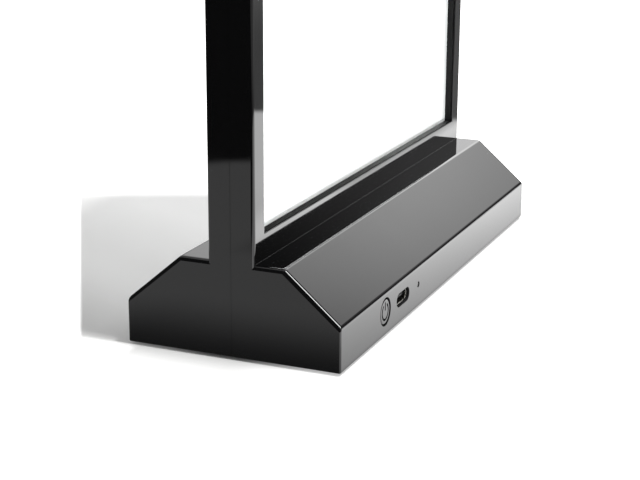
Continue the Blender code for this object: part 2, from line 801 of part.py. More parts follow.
def housing(side_name, side):
    """One moulded half of the stand: half the light frame and half the base in one piece."""
    name = side_name + "_housing"
    body = plain_half(name, side)
    cut(body, housing_core(name, side), light_pocket(name, side))
    cut(body, sheet_slot(name, side), finger_notch(name, side))
    cut(body, wire_hole(name, CEILING - CUT_OVERRUN, BASE_TOP + CUT_OVERRUN))
    cut(body, *pilot_holes(name, side))
    if side < 0:
        cut(body, *control_openings())
    for number, (x, height) in enumerate(peg_places()):
        if side < 0:
            root = (x, -SEAM_FACE - PEG_ROOT, height)
            tip = (x, PEG_LENGTH, height)
            peg = rod(f"peg_{number}", PEG_DIAMETER, root, tip, cutters, SMALL_ROUND_STEPS)
            join(body, peg)
        else:
            mouth = (x, -CUT_OVERRUN, height)
            end = (x, PEG_LENGTH + FIT_GAP, height)
            diameter = PEG_DIAMETER + 2 * FIT_GAP
            socket = rod(f"peg_hole_{number}", diameter, mouth, end, cutters, SMALL_ROUND_STEPS)
            cut(body, socket)
    finish_part(body, material("gloss_black_abs", GLOSS_BLACK, 0.08), stand)


def bottom_cover():
    """The flat cover, with foot seats, screw collars and the cradle of the cell."""
    length = 2 * (END_WALL_INNER - FIT_GAP)
    depth = 2 * (WALL_INNER - FIT_GAP)
    cover = outline_solid(
        "bottom_cover",
        rounded_rectangle(length, depth, COVER_CORNER_RADIUS, COVER_CORNER_STEPS),
        COVER_THICKNESS,
        parts,
        (0, 0, (COVER_BOTTOM + COVER_TOP) / 2),
    )
    add_screw_collars(cover)
    add_cell_cradle(cover)
    for name, x, y in foot_places():
        seat = rod(
            name + "_seat",
            FOOT_DIAMETER + 2 * FIT_GAP,
            (x, y, COVER_BOTTOM - CUT_OVERRUN),
            (x, y, FOOT_THICKNESS + FIT_GAP),
            cutters,
        )
        cut(cover, seat)
    finish_part(cover, material("satin_black_abs", SATIN_BLACK, 0.4), stand)


def add_screw_collars(cover):
    """Thickens the cover round each screw and sinks the head into it."""
    head_room = SCREW_HEAD_DIAMETER + 2 * FIT_GAP
    for name, x, y in cover_screw_places():
        collar = rod(
            name + "_collar",
            head_room + 2 * SCREW_BOSS_WALL,
            (x, y, COVER_TOP - COVER_THICKNESS / 2),
            (x, y, COVER_TOP + SCREW_COLLAR_HEIGHT),
            cutters,
        )
        join(cover, collar)
        well = rod(
            name + "_well",
            head_room,
            (x, y, COVER_BOTTOM - CUT_OVERRUN),
            (x, y, SCREW_SEAT + FIT_GAP),
            cutters,
        )
        hole = rod(
            name + "_hole",
            SCREW_SHANK_DIAMETER + 2 * FIT_GAP,
            (x, y, COVER_BOTTOM - CUT_OVERRUN),
            (x, y, COVER_TOP + SCREW_COLLAR_HEIGHT + CUT_OVERRUN),
            cutters,
            SMALL_ROUND_STEPS,
        )
        cut(cover, well, hole)


def add_cell_cradle(cover):
    """Two scooped ribs under the cell and a stop at each of its ends."""
    room_radius = CELL_DIAMETER / 2 + FIT_GAP
    land_start = CRADLE_HALF_WIDTH - CRADLE_LAND
    top = CELL_Z - math.sqrt(room_radius**2 - land_start**2)
    stop_reach = CELL_LENGTH / 2 + TAB_THICKNESS + 2 * FIT_GAP + CRADLE_THICKNESS / 2
    for number, offset in enumerate((-stop_reach, -CRADLE_SPREAD, CRADLE_SPREAD, stop_reach)):
        x = CELL_X + offset
        rib = box(
            f"cradle_rib_{number}",
            (x - CRADLE_THICKNESS / 2, -CRADLE_HALF_WIDTH, COVER_TOP - COVER_THICKNESS / 2),
            (x + CRADLE_THICKNESS / 2, CRADLE_HALF_WIDTH, top),
            cutters,
        )
        join(cover, rib)
    cut(cover, cell_room("cradle_room"))


def foot_places():
    """Foot names and places, one near each corner."""
    x = END_FACE - FOOT_INSET
    y = BASE_FACE - FOOT_INSET
    return [
        (f"foot_{side_name}_{end_name}", end * x, side * y)
        for side_name, side in SIDES
        for end_name, end in (("left", -1), ("right", 1))
    ]


def feet():
    """Four stick-on rubber feet with a rounded lower edge."""
    radius = FOOT_DIAMETER / 2
    corner = radius - FOOT_EDGE_RADIUS
    rounded = arc((corner, FOOT_EDGE_RADIUS), FOOT_EDGE_RADIUS, 0, -90, CORNER_SEGMENTS)
    profile = [(0, FOOT_THICKNESS), (radius, FOOT_THICKNESS), *rounded, (0, 0)]
    for name, x, y in foot_places():
        foot = turned(name, profile, parts, (x, y, 0), UPRIGHT)
        finish_part(foot, material("black_rubber", SATIN_BLACK, 0.9), stand)


def cover_screw_places():
    """Cover screw names and places, two in each half."""
    return [
        (f"cover_screw_{side_name}_{end_name}", end * SCREW_X, side * SCREW_OFFSET)
        for side_name, side in SIDES
        for end_name, end in (("left", -1), ("right", 1))
    ]


def screw(name, place, head_diameter, head_height, shank_diameter, length):
    """A pan head screw hanging head down from its seat, with a cross recess."""
    head = head_diameter / 2
    shank = shank_diameter / 2
    crown = [(head * across, head_height * up) for across, up in HEAD_CROWN_SHARES]
    profile = [
        (0, head_height),
        *crown,
        (head, 0),
        (shank, 0),
        (shank, -length + shank),
        (0, -length),
    ]
    body = turned(name, profile, parts, place, HEAD_DOWN, SMALL_ROUND_STEPS)
    arm = head_diameter * RECESS_ARM_SHARE
    slit = head_diameter * RECESS_WIDTH_SHARE
    depth = head_height * RECESS_DEPTH_SHARE
    for number, (reach_x, reach_y) in enumerate(((arm, slit), (slit, arm))):
        recess = box(
            f"{name}_recess_{number}",
            (place[0] - reach_x / 2, place[1] - reach_y / 2, place[2] - head_height - CUT_OVERRUN),
            (place[0] + reach_x / 2, place[1] + reach_y / 2, place[2] - head_height + depth),
            cutters,
        )
        cut(body, recess)
    finish_part(body, material("zinc_plated_steel", STEEL, 0.35, metallic=1), stand)


def screws():
    """The four cover screws and the four board screws."""
    for name, x, y in cover_screw_places():
        screw(
            name,
            (x, y, SCREW_SEAT),
            SCREW_HEAD_DIAMETER,
            SCREW_HEAD_HEIGHT,
            SCREW_SHANK_DIAMETER,
            SCREW_LENGTH,
        )
    for number, (x, y) in enumerate(board_screw_places(), 1):
        screw(
            f"board_screw_{number}",
            (x, y, BOARD_SCREW_SEAT),
            BOARD_SCREW_HEAD_DIAMETER,
            BOARD_SCREW_HEAD_HEIGHT,
            BOARD_SCREW_SHANK_DIAMETER,
            BOARD_SCREW_LENGTH,
        )


def light_panel():
    """The light guide and, on each side, the diffuser, the sheet and the clear window."""
    half = SHEET_WIDTH / 2
    guide = box(
        "light_guide",
        (-half, -GUIDE_FACE, SHEET_BOTTOM),
        (half, GUIDE_FACE, SHEET_TOP),
        parts,
    )
    finish_part(guide, material("clear_acrylic", CLEAR, 0.05, alpha=0.4, glow=1.0), stand)
    layers = (
        ("diffuser", DIFFUSER_INNER, DIFFUSER_OUTER, SHEET_TOP, "opal_film", WHITE, 0.6, 1.0, 1.0),
        ("sheet", SHEET_INNER, SHEET_OUTER, SHEET_TOP, "paper", PAPER_WHITE, 0.9, 1.0, 1.0),
        (
            "window",
            WINDOW_INNER,
            WINDOW_OUTER,
            WINDOW_TOP + WINDOW_TOP_COVERED,
            "clear_acrylic_window",
            CLEAR,
            0.05,
            0.25,
            0.0,
        ),
    )
    for side_name, side in SIDES:
        for layer, inner, outer, top, finish, colour, roughness, alpha, glow in layers:
            plate = box(
                f"{side_name}_{layer}",
                (-half, side * inner, SHEET_BOTTOM),
                (half, side * outer, top),
                parts,
            )
            made = material(finish, colour, roughness, alpha=alpha, glow=glow)
            finish_part(plate, made, stand)


def light_carrier():
    """The white channel that the light panel stands on and the lamp strip lies in."""
    half = SHEET_WIDTH / 2
    carrier = box(
        "light_carrier",
        (-half, -WINDOW_OUTER, CARRIER_BOTTOM),
        (half, WINDOW_OUTER, CARRIER_TOP),
        parts,
    )
    channel = box(
        "light_carrier_channel",
        (-STRIP_HALF - FIT_GAP, -STRIP_WIDTH / 2 - FIT_GAP, CARRIER_FLOOR_TOP),
        (STRIP_HALF + FIT_GAP, STRIP_WIDTH / 2 + FIT_GAP, CARRIER_TOP + CUT_OVERRUN),
        cutters,
    )
    hole = wire_hole("light_carrier", CARRIER_BOTTOM - CUT_OVERRUN, CARRIER_FLOOR_TOP + CUT_OVERRUN)
    cut(carrier, channel, hole)
    finish_part(carrier, material("white_abs", WHITE, 0.5), stand)


def lamp_strip():
    """The narrow board with its row of small lamps, which shine up into the light guide."""
    strip = box(
        "lamp_strip",
        (-STRIP_HALF, -STRIP_WIDTH / 2, STRIP_BOTTOM),
        (STRIP_HALF, STRIP_WIDTH / 2, STRIP_TOP),
        parts,
    )
    pitch = 2 * STRIP_HALF / STRIP_LAMP_COUNT
    sunk = STRIP_THICKNESS / 2
    height = STRIP_LAMP_HEIGHT + sunk
    centres = [
        (-STRIP_HALF + pitch * (number + 0.5), 0, STRIP_TOP - sunk + height / 2)
        for number in range(STRIP_LAMP_COUNT)
    ]
    lamps = boxes("strip_lamps", centres, (STRIP_LAMP_LENGTH, STRIP_LAMP_WIDTH, height), cutters)
    join(strip, lamps)
    finish_part(strip, material("white_circuit_board", WHITE, 0.5), stand)


def circuit_board():
    """The board under the front slope, notched for the button and drilled for its screws."""
    board = box(
        "circuit_board",
        (BOARD_LEFT, -BOARD_FRONT, BOARD_BOTTOM),
        (BOARD_RIGHT, -BOARD_BACK, BOARD_TOP),
        parts,
    )
    notch_half = BUTTON_DIAMETER / 2 + 2 * FIT_GAP
    notch = box(
        "board_notch",
        (BUTTON_X - notch_half, -BOARD_FRONT - CUT_OVERRUN, BOARD_BOTTOM - CUT_OVERRUN),
        (
            BUTTON_X + notch_half,
            -(BUTTON_CAP_INNER - BUTTON_TRAVEL - FIT_GAP),
            BOARD_TOP + CUT_OVERRUN,
        ),
        cutters,
    )
    cut(board, notch)
    for number, (x, y) in enumerate(board_screw_places()):
        hole = rod(
            f"board_hole_{number}",
            BOARD_SCREW_SHANK_DIAMETER + 2 * FIT_GAP,
            (x, y, BOARD_BOTTOM - CUT_OVERRUN),
            (x, y, BOARD_TOP + CUT_OVERRUN),
            cutters,
            SMALL_ROUND_STEPS,
        )
        cut(board, hole)
    finish_part(board, material("green_circuit_board", BOARD_GREEN, 0.4), stand)


def charge_chip():
    """The eight-legged chip under the board."""
    y = -(BOARD_BACK + CHIP_FROM_BACK)
    chip = box(
        "charge_chip",
        (CHIP_X - CHIP_LENGTH / 2, y - CHIP_WIDTH / 2, UNDER_BOARD - CHIP_HEIGHT),
        (CHIP_X + CHIP_LENGTH / 2, y + CHIP_WIDTH / 2, UNDER_BOARD),
        parts,
    )
    pitch = CHIP_LENGTH / CHIP_LEG_COUNT
    centres = [
        (CHIP_X - CHIP_LENGTH / 2 + pitch * (number + 0.5), y, UNDER_BOARD - CHIP_HEIGHT / 2)
        for number in range(CHIP_LEG_COUNT)
    ]
    size = (CHIP_LEG_SIZE, CHIP_WIDTH + 2 * CHIP_LEG_REACH, CHIP_LEG_SIZE)
    join(chip, boxes("chip_legs", centres, size, cutters))
    finish_part(chip, material("black_resin", SATIN_BLACK, 0.6), stand)


def coil():
    """The wound coil of the lamp driver: a square drum with a round waist."""
    y = -(BOARD_BACK + COIL_FROM_BACK)
    bottom = UNDER_BOARD - COIL_HEIGHT
    half = COIL_SIZE / 2
    plate = box(
        "coil",
        (COIL_X - half, y - half, UNDER_BOARD - COIL_PLATE),
        (COIL_X + half, y + half, UNDER_BOARD),
        parts,
    )
    end_plate = box(
        "coil_end_plate",
        (COIL_X - half, y - half, bottom),
        (COIL_X + half, y + half, bottom + COIL_PLATE),
        cutters,
    )
    waist = rod(
        "coil_waist",
        COIL_WAIST_DIAMETER,
        (COIL_X, y, bottom + COIL_PLATE / 2),
        (COIL_X, y, UNDER_BOARD - COIL_PLATE / 2),
        cutters,
        SMALL_ROUND_STEPS,
    )
    join(plate, waist, end_plate)
    finish_part(plate, material("dark_ferrite", SATIN_BLACK, 0.7), stand)


def power_button():
    """The round cap with its wings and stem, its origin on the axis that it slides along."""
    radius = BUTTON_DIAMETER / 2
    stem = BUTTON_STEM_DIAMETER / 2
    cap_length = BUTTON_FACE - BUTTON_CAP_INNER
    middle = (radius - BUTTON_EDGE_RADIUS, -BUTTON_EDGE_RADIUS)
    rounded = arc(middle, BUTTON_EDGE_RADIUS, 90, 0, BUTTON_EDGE_STEPS)
    profile = [
        (0, 0),
        *rounded,
        (radius, -cap_length),
        (stem, -cap_length),
        (stem, -cap_length - BUTTON_STEM_LENGTH),
        (0, -cap_length - BUTTON_STEM_LENGTH),
    ]
    place = (BUTTON_X, -BUTTON_FACE, CONTROL_Z)
    button = turned("power_button", profile, parts, place, LIE_ALONG_Y)
    reach = BUTTON_DIAMETER / 2 + FIT_GAP + BUTTON_WING_REACH
    wings = box(
        "button_wings",
        (BUTTON_X - reach, -WING_OUTER, CONTROL_Z - BUTTON_WING_HEIGHT / 2),
        (
            BUTTON_X + reach,
            -WING_OUTER + BUTTON_WING_THICKNESS,
            CONTROL_Z + BUTTON_WING_HEIGHT / 2,
        ),
        cutters,
    )
    join(button, wings)
    finish_part(button, material("gloss_black_button", GLOSS_BLACK, 0.12), button_slide)


def push_switch():
    """The switch under the board: its body, and the plunger that the button's stem pushes."""
    body = box(
        "switch_body",
        (BUTTON_X - SWITCH_WIDTH / 2, -SWITCH_FACE, UNDER_BOARD - SWITCH_HEIGHT),
        (BUTTON_X + SWITCH_WIDTH / 2, -SWITCH_FACE + SWITCH_DEPTH, UNDER_BOARD),
        parts,
    )
    bore = rod(
        "switch_bore",
        PLUNGER_DIAMETER + 2 * FIT_GAP,
        (BUTTON_X, -SWITCH_FACE - CUT_OVERRUN, CONTROL_Z),
        (BUTTON_X, -SWITCH_BORE_END, CONTROL_Z),
        cutters,
        SMALL_ROUND_STEPS,
    )
    cut(body, bore)
    finish_part(body, material("black_nylon", SATIN_BLACK, 0.5), stand)
    radius = PLUNGER_DIAMETER / 2
    length = PLUNGER_TIP - PLUNGER_END
    middle = (radius - PLUNGER_EDGE_RADIUS, -PLUNGER_EDGE_RADIUS)
    rounded = arc(middle, PLUNGER_EDGE_RADIUS, 90, 0, CORNER_SEGMENTS)
    profile = [(0, 0), *rounded, (radius, -length), (0, -length)]
    place = (BUTTON_X, -PLUNGER_TIP, CONTROL_Z)
    plunger = turned("switch_plunger", profile, parts, place, LIE_ALONG_Y, SMALL_ROUND_STEPS)
    finish_part(plunger, material("white_nylon", WHITE, 0.5), button_slide)


def charging_socket():
    """The metal shell behind the front opening, and the tongue that stands in it."""
    mouth = -(BASE_FACE - PORT_SUNK)
    shell = outline_solid(
        "port_shell",
        bar_outline(PORT_WIDTH, PORT_HEIGHT),
        PORT_LENGTH,
        parts,
        (PORT_X, mouth + PORT_LENGTH / 2, CONTROL_Z),
        LIE_ALONG_Y,
    )
    bore_length = PORT_LENGTH - PORT_BACK_WALL + CUT_OVERRUN
    inner_height = PORT_HEIGHT - 2 * PORT_SHELL_WALL
    bore = outline_solid(
        "port_bore",
        bar_outline(PORT_WIDTH - 2 * PORT_SHELL_WALL, inner_height),
        bore_length,
        cutters,
        (PORT_X, mouth - CUT_OVERRUN + bore_length / 2, CONTROL_Z),
        LIE_ALONG_Y,
    )
    cut(shell, bore)
    finish_part(shell, material("bright_steel", STEEL, 0.2, metallic=1), stand)
    block_back = mouth + PORT_LENGTH - PORT_BACK_WALL - FIT_GAP
    block_front = block_back - TONGUE_BLOCK_LENGTH
    block_height = inner_height - 2 * FIT_GAP
    tongue = outline_solid(
        "port_tongue",
        bar_outline(PORT_WIDTH - 2 * PORT_SHELL_WALL - 2 * FIT_GAP, block_height),
        TONGUE_BLOCK_LENGTH,
        parts,
        (PORT_X, (block_back + block_front) / 2, CONTROL_Z),
        LIE_ALONG_Y,
    )
    blade = box(
        "port_blade",
        (PORT_X - TONGUE_WIDTH / 2, block_front - TONGUE_LENGTH, CONTROL_Z - TONGUE_THICKNESS / 2),
        (
            PORT_X + TONGUE_WIDTH / 2,
            block_front + TONGUE_BLOCK_LENGTH / 2,
            CONTROL_Z + TONGUE_THICKNESS / 2,
        ),
        cutters,
    )
    join(tongue, blade)
    finish_part(tongue, material("black_nylon", SATIN_BLACK, 0.5), stand)


def indicator():
    """The light pipe in the front wall and the small lamp behind it."""
    flange = PIPE_FLANGE_DIAMETER / 2
    tip = PIPE_DIAMETER / 2
    outer = BASE_FACE - PIPE_SUNK
    length = outer - PIPE_FLANGE_OUTER
    profile = [
        (0, 0),
        (tip, 0),
        (tip, -length),
        (flange, -length),
        (flange, -length - PIPE_FLANGE_THICKNESS),
        (0, -length - PIPE_FLANGE_THICKNESS),
    ]
    place = (LAMP_X, -outer, CONTROL_Z)
    pipe = turned("light_pipe", profile, parts, place, LIE_ALONG_Y, SMALL_ROUND_STEPS)
    finish_part(pipe, material("clear_light_pipe", CLEAR, 0.1, alpha=0.5), stand)
    radius = LAMP_DIAMETER / 2
    rim = LAMP_RIM_DIAMETER / 2
    dome = arc((0, -radius), radius, 90, 0, LAMP_DOME_STEPS)
    profile = [
        *dome,
        (radius, -LAMP_LENGTH + LAMP_RIM_THICKNESS),
        (rim, -LAMP_LENGTH + LAMP_RIM_THICKNESS),
        (rim, -LAMP_LENGTH),
        (0, -LAMP_LENGTH),
    ]
    place = (LAMP_X, -LAMP_TIP, CONTROL_Z)
    lamp = turned("indicator_lamp", profile, parts, place, LIE_ALONG_Y, SMALL_ROUND_STEPS)
    for number, direction in enumerate((-1, 1)):
        join(lamp, lamp_leg(f"lamp_leg_{number}", LAMP_X + direction * LAMP_LEG_SPREAD / 2))
    finish_part(lamp, material("clear_epoxy", CLEAR, 0.1, alpha=0.7), stand)


def lamp_leg(name, x):
    """One bent leg of the indicator lamp, back out of it and up to the board."""
    back = -LAMP_BACK
    start = back - LAMP_RIM_THICKNESS
    end = back + LAMP_LEG_REACH
    low = CONTROL_Z - LAMP_LEG / 2
    outline = [
        (start, low),
        (end, low),
        (end, UNDER_BOARD),
        (end - LAMP_LEG, UNDER_BOARD),
        (end - LAMP_LEG, low + LAMP_LEG),
        (start, low + LAMP_LEG),
    ]
    return outline_solid(name, outline, LAMP_LEG, cutters, (x, 0, 0), STAND_ALONG_X)


def battery_cell():
    """The round cell: a sleeved can with the groove and the button of its positive end."""
    radius = CELL_DIAMETER / 2
    shoulder = CELL_LENGTH / 2 - CELL_BUTTON_HEIGHT
    groove = shoulder - CELL_GROOVE_INSET
    button = CELL_BUTTON_DIAMETER / 2
    end = CELL_LENGTH / 2
    profile = [
        (0, end),
        (button, end),
        (button, shoulder),
        (radius - CELL_EDGE_RADIUS, shoulder),
        (radius, shoulder - CELL_EDGE_RADIUS),
        (radius, groove),
        (radius - CELL_GROOVE_DEPTH, groove - CELL_GROOVE_WIDTH / 2),
        (radius, groove - CELL_GROOVE_WIDTH),
        (radius, -end + CELL_EDGE_RADIUS),
        (radius - CELL_EDGE_RADIUS, -end),
        (0, -end),
    ]
    cell = turned(
        "battery_cell", profile, parts, (CELL_X, 0, CELL_Z), (0, math.pi / 2, 0), ROUND_STEPS * 2
    )
    finish_part(cell, material("shrink_sleeve", CELL_BLUE, 0.35), stand)
    for name, end_x, direction in (
        ("battery_tab_positive", CELL_RIGHT, 1),
        ("battery_tab_negative", CELL_LEFT, -1),
    ):
        near = end_x + direction * FIT_GAP
        tab = box(
            name,
            (near, -TAB_WIDTH / 2, CELL_Z - TAB_HEIGHT / 2),
            (near + direction * TAB_THICKNESS, TAB_WIDTH / 2, CELL_Z + TAB_HEIGHT / 2),
            parts,
        )
        finish_part(tab, material("nickel_strip", NICKEL, 0.3, metallic=1), stand)


def battery_connector():
    """The socket under the board, open at the board's rear edge, and the plug that sits in it."""
    half_width = SOCKET_WIDTH / 2
    half_height = SOCKET_HEIGHT / 2
    socket = box(
        "battery_socket",
        (SOCKET_X - half_width, -SOCKET_MOUTH - SOCKET_LENGTH, SOCKET_Z - half_height),
        (SOCKET_X + half_width, -SOCKET_MOUTH, SOCKET_Z + half_height),
        parts,
    )
    plug_start = -PLUG_END - PLUG_LENGTH
    cavity_width = half_width - SOCKET_WALL
    cavity_height = half_height - SOCKET_WALL
    cavity = box(
        "battery_socket_cavity",
        (SOCKET_X - cavity_width, plug_start - FIT_GAP, SOCKET_Z - cavity_height),
        (SOCKET_X + cavity_width, -SOCKET_MOUTH + CUT_OVERRUN, SOCKET_Z + cavity_height),
        cutters,
    )
    cut(socket, cavity)
    finish_part(socket, material("white_nylon", WHITE, 0.5), stand)
    plug_width = cavity_width - FIT_GAP
    plug_height = cavity_height - FIT_GAP
    plug = box(
        "battery_plug",
        (SOCKET_X - plug_width, plug_start, SOCKET_Z - plug_height),
        (SOCKET_X + plug_width, -PLUG_END, SOCKET_Z + plug_height),
        parts,
    )
    finish_part(plug, material("white_nylon", WHITE, 0.5), stand)


def smooth_route(places):
    """Evenly spaced points on one smooth curve through the places."""
    points = [Vector(place) for place in places]
    padded = [2 * points[0] - points[1], *points, 2 * points[-1] - points[-2]]
    route = []
    for before, start, end, after in zip(padded, padded[1:], padded[2:], padded[3:]):
        steps = max(1, round((end - start).length / LEAD_POINT_SPACING))
        for step in range(steps):
            t = step / steps
            route.append(
                0.5
                * (
                    2 * start
                    + (end - before) * t
                    + (2 * before - 5 * start + 4 * end - after) * t**2
                    + (3 * start - before - 3 * end + after) * t**3
                )
            )
    return [*route, points[-1]]


def lead(name, places, colour_name, colour):
    """One insulated lead along a smooth route, with flat ends."""
    curve = bpy.data.curves.new(name, "CURVE")
    curve.dimensions = "3D"
    curve.bevel_depth = LEAD_DIAMETER / 2
    curve.bevel_resolution = 2
    curve.use_fill_caps = True
    route = smooth_route(places)
    spline = curve.splines.new("POLY")
    spline.points.add(len(route) - 1)
    for point, place in zip(spline.points, route):
        point.co = (*place, 1)
    obj = bpy.data.objects.new(name, curve)
    parts.objects.link(obj)
    finish_part(obj, material(colour_name, colour, 0.5), stand)


def battery_leads():
    """The two leads from the battery plug, one to each end of the cell."""
    start = -PLUG_END + FIT_GAP
    straight = start + LEAD_STRAIGHT
    beside = -(CELL_DIAMETER / 2 - LEAD_DIAMETER / 2)
    low = COVER_TOP + CELL_ROOM_BELOW + LEAD_DIAMETER / 2
    outward = TAB_THICKNESS + 2 * FIT_GAP
    corner = LEAD_STRAIGHT + LEAD_DIAMETER
    near_tab = CELL_LEFT - outward
    far_tab = CELL_RIGHT + outward
    near_x = SOCKET_X - LEAD_PITCH / 2
    far_x = SOCKET_X + LEAD_PITCH / 2
    out, in_line = NEAR_LEAD_SHARES
    rising, risen = FAR_LEAD_SHARES
    lead(
        "battery_lead_negative",
        [
            (near_x, start, SOCKET_Z),
            (near_x, straight, SOCKET_Z),
            (SOCKET_X + LEAD_BEND, beside * out, SOCKET_Z),
            ((SOCKET_X + near_tab) / 2, beside * in_line, (SOCKET_Z + CELL_Z) / 2),
            (near_tab - LEAD_STRAIGHT, 0, CELL_Z),
            (near_tab, 0, CELL_Z),
        ],
        "black_lead",
        SATIN_BLACK,
    )
    lead(
        "battery_lead_positive",
        [
            (far_x, start, SOCKET_Z),
            (far_x, straight, SOCKET_Z),
            (far_x + LEAD_BEND, beside, low),
            (CELL_X, beside, low),
            (CELL_RIGHT - corner, beside, low),
            (far_tab + LEAD_STRAIGHT, beside * rising, (low + CELL_Z) / 2),
            (far_tab + corner, beside * risen, CELL_Z),
            (far_tab + LEAD_STRAIGHT / 2, 0, CELL_Z),
            (far_tab, 0, CELL_Z),
        ],
        "red_lead",
        LEAD_RED,
    )


def lamp_leads():
    """The two leads from the board up through the wire hole to the lamp strip."""
    board_y = -(BOARD_BACK + BOARD_SCREW_INSET)
    bottom = BOARD_TOP + FIT_GAP
    for name, direction, colour_name, colour in (
        ("lamp_lead_positive", -1, "red_lead", LEAD_RED),
        ("lamp_lead_negative", 1, "black_lead", SATIN_BLACK),
    ):
        x = WIRE_HOLE_X + direction * LEAD_PITCH / 2
        lead(
            name,
            [
                (x, board_y, bottom),
                (x, board_y, bottom + LEAD_STRAIGHT),
                (x, board_y * LAMP_LEAD_SHARE, (bottom + CEILING) / 2),
                (x, 0, CEILING - LEAD_STRAIGHT),
                (x, 0, BASE_TOP),
                (x, 0, STRIP_BOTTOM - FIT_GAP),
            ],
            colour_name,
            colour,
        )


clear_scene()
parts = new_collection("illuminated_table_stand", hidden=False)
cutters = new_collection("cutters", hidden=True)
stand = empty("table_stand", (0, 0, 0))
button_slide = empty("power_button_slide", (BUTTON_X, -BUTTON_FACE, CONTROL_Z), stand)
for name_of_side, sign_of_side in SIDES:
    housing(name_of_side, sign_of_side)
bottom_cover()
feet()
screws()
light_panel()
light_carrier()
lamp_strip()
circuit_board()
charge_chip()
coil()
power_button()
push_switch()
charging_socket()
indicator()
battery_cell()
battery_connector()
battery_leads()
lamp_leads()
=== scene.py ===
import math
from contextlib import contextmanager

import bmesh
import bpy
from bpy.props import FloatProperty, FloatVectorProperty, IntProperty, PointerProperty
from mathutils import Matrix, Vector


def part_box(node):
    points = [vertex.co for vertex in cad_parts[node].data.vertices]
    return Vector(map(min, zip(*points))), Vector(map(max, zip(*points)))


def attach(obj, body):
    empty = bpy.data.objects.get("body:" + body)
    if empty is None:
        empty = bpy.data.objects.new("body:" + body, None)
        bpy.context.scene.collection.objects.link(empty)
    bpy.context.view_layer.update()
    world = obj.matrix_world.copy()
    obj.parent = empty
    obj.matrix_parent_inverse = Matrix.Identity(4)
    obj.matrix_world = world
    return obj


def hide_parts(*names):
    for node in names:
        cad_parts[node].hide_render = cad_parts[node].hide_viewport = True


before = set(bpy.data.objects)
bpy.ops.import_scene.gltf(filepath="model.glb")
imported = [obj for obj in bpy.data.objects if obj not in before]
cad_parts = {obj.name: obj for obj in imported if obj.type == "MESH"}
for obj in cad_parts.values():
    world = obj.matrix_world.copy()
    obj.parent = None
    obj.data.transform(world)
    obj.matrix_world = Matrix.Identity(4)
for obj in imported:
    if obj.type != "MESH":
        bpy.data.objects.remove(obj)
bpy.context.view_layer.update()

bl_info = {
    "name": "Illuminated Table Stand",
    "version": (1, 0, 0),
    "blender": (4, 5, 0),
    "location": "3D View > Sidebar > Stand",
    "description": "Dresses the packed model of a lit two-sided table stand and its studio",
    "category": "Object",
}

# Sides of the stand, which is the same in front and behind apart from its controls, and its ends
FRONT = -1
REAR = 1
SIDE_NAMES = {FRONT: "front", REAR: "rear"}
ENDS = (-1, 1)

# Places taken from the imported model, as distances from the mid-plane or heights
HOUSING_LOW, HOUSING_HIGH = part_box("rear_housing")
END_FACE, BASE_FACE, TOP = HOUSING_HIGH
BOTTOM = HOUSING_LOW.z
SHEET_LOW, SHEET_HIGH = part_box("rear_sheet")
PORT_LOW, PORT_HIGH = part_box("port_shell")
PORT_X = (PORT_LOW.x + PORT_HIGH.x) / 2
CONTROL_HEIGHT = (PORT_LOW.z + PORT_HIGH.z) / 2
PIPE_LOW, PIPE_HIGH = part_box("light_pipe")
PIPE_X = (PIPE_LOW.x + PIPE_HIGH.x) / 2
BUTTON_LOW, BUTTON_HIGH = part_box("power_button")
BUTTON_X = (BUTTON_LOW.x + BUTTON_HIGH.x) / 2
CELL_LOW, CELL_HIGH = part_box("battery_cell")
CELL_HEIGHT = (CELL_LOW.z + CELL_HIGH.z) / 2

# Sizes of the moulded halves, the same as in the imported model
SEAM_FACE = 0.00002
FRAME_FACE = 0.0062
BASE_TOP = 0.0248
SIDE_TOP = 0.0121
RIDGE = 0.01395
WALL = 0.002
WINDOW_HALF = 0.0715
WINDOW_BOTTOM = 0.0313
WINDOW_TOP = 0.2363
POCKET_HALF = 0.0743
POCKET_DEPTH = 0.0036
POCKET_TOP = SHEET_HIGH.z + 0.0003
SLOT_CLEARANCE = 0.00015
NOTCH_RADIUS = 0.014
NOTCH_DEPTH = 0.0046
NOTCH_MIDDLE = TOP + NOTCH_RADIUS - NOTCH_DEPTH
CEILING = BASE_TOP - WALL
WALL_INNER = BASE_FACE - WALL
HOLLOW_SIDE_TOP = 0.01178
HOLLOW_CEILING_FACE = 0.01321
RIB_BOTTOM = 0.014
RIB_THICKNESS = 0.0012
RIB_PLACES = (0.008, 0.030, 0.052, PORT_X)
CELL_ROOM_RADIUS = 0.0095
WIRE_HOLE_X = -0.020
WIRE_HOLE = (0.005, 0.0026)
BUTTON_HOLE_RADIUS = 0.00375
PORT_HOLE = (0.00954, 0.00376)
PIPE_HOLE_RADIUS = 0.0008

# Screw bosses: (x and y), then foot, diameter, pilot hole's diameter and pilot hole's top
COVER_BOSS = (0.070, 0.0085, 0.0045, 0.0056, 0.0028, 0.0102)
BOARD_BOSS_X = (-0.0552, -0.0142)
BOARD_BOSS_Y = (-0.02265, -0.01335)
BOARD_BOSS = (0.01038, 0.0044, 0.0022, 0.0134)

# Pegs of the front half and their holes in the rear half
PEG_X = 0.0759
PEG_HEIGHTS = [BASE_TOP + share * (TOP - BASE_TOP) for share in (0.15, 0.5, 0.85)]
PEG_RADIUS = 0.0008
PEG_ROOT = -0.00102
PEG_LENGTH = 0.0012
PEG_HOLE_RADIUS = 0.0011
PEG_HOLE_DEPTH = 0.0015

# The power button: a cap on a stem, with wings behind the wall that keep it in. Its symbol has a
# ring between two angles, in degrees, and a bar between two shares of the ring's radius.
BUTTON_RADIUS = 0.00345
CAP_LENGTH = 0.003
STEM_RADIUS = 0.0015
WING_HALF_HEIGHT = 0.0016
WING_THICKNESS = 0.0008
WING_GAP = 0.0003
SYMBOL_RING = (122, 418)
SYMBOL_BAR = (0.15, 1.2)

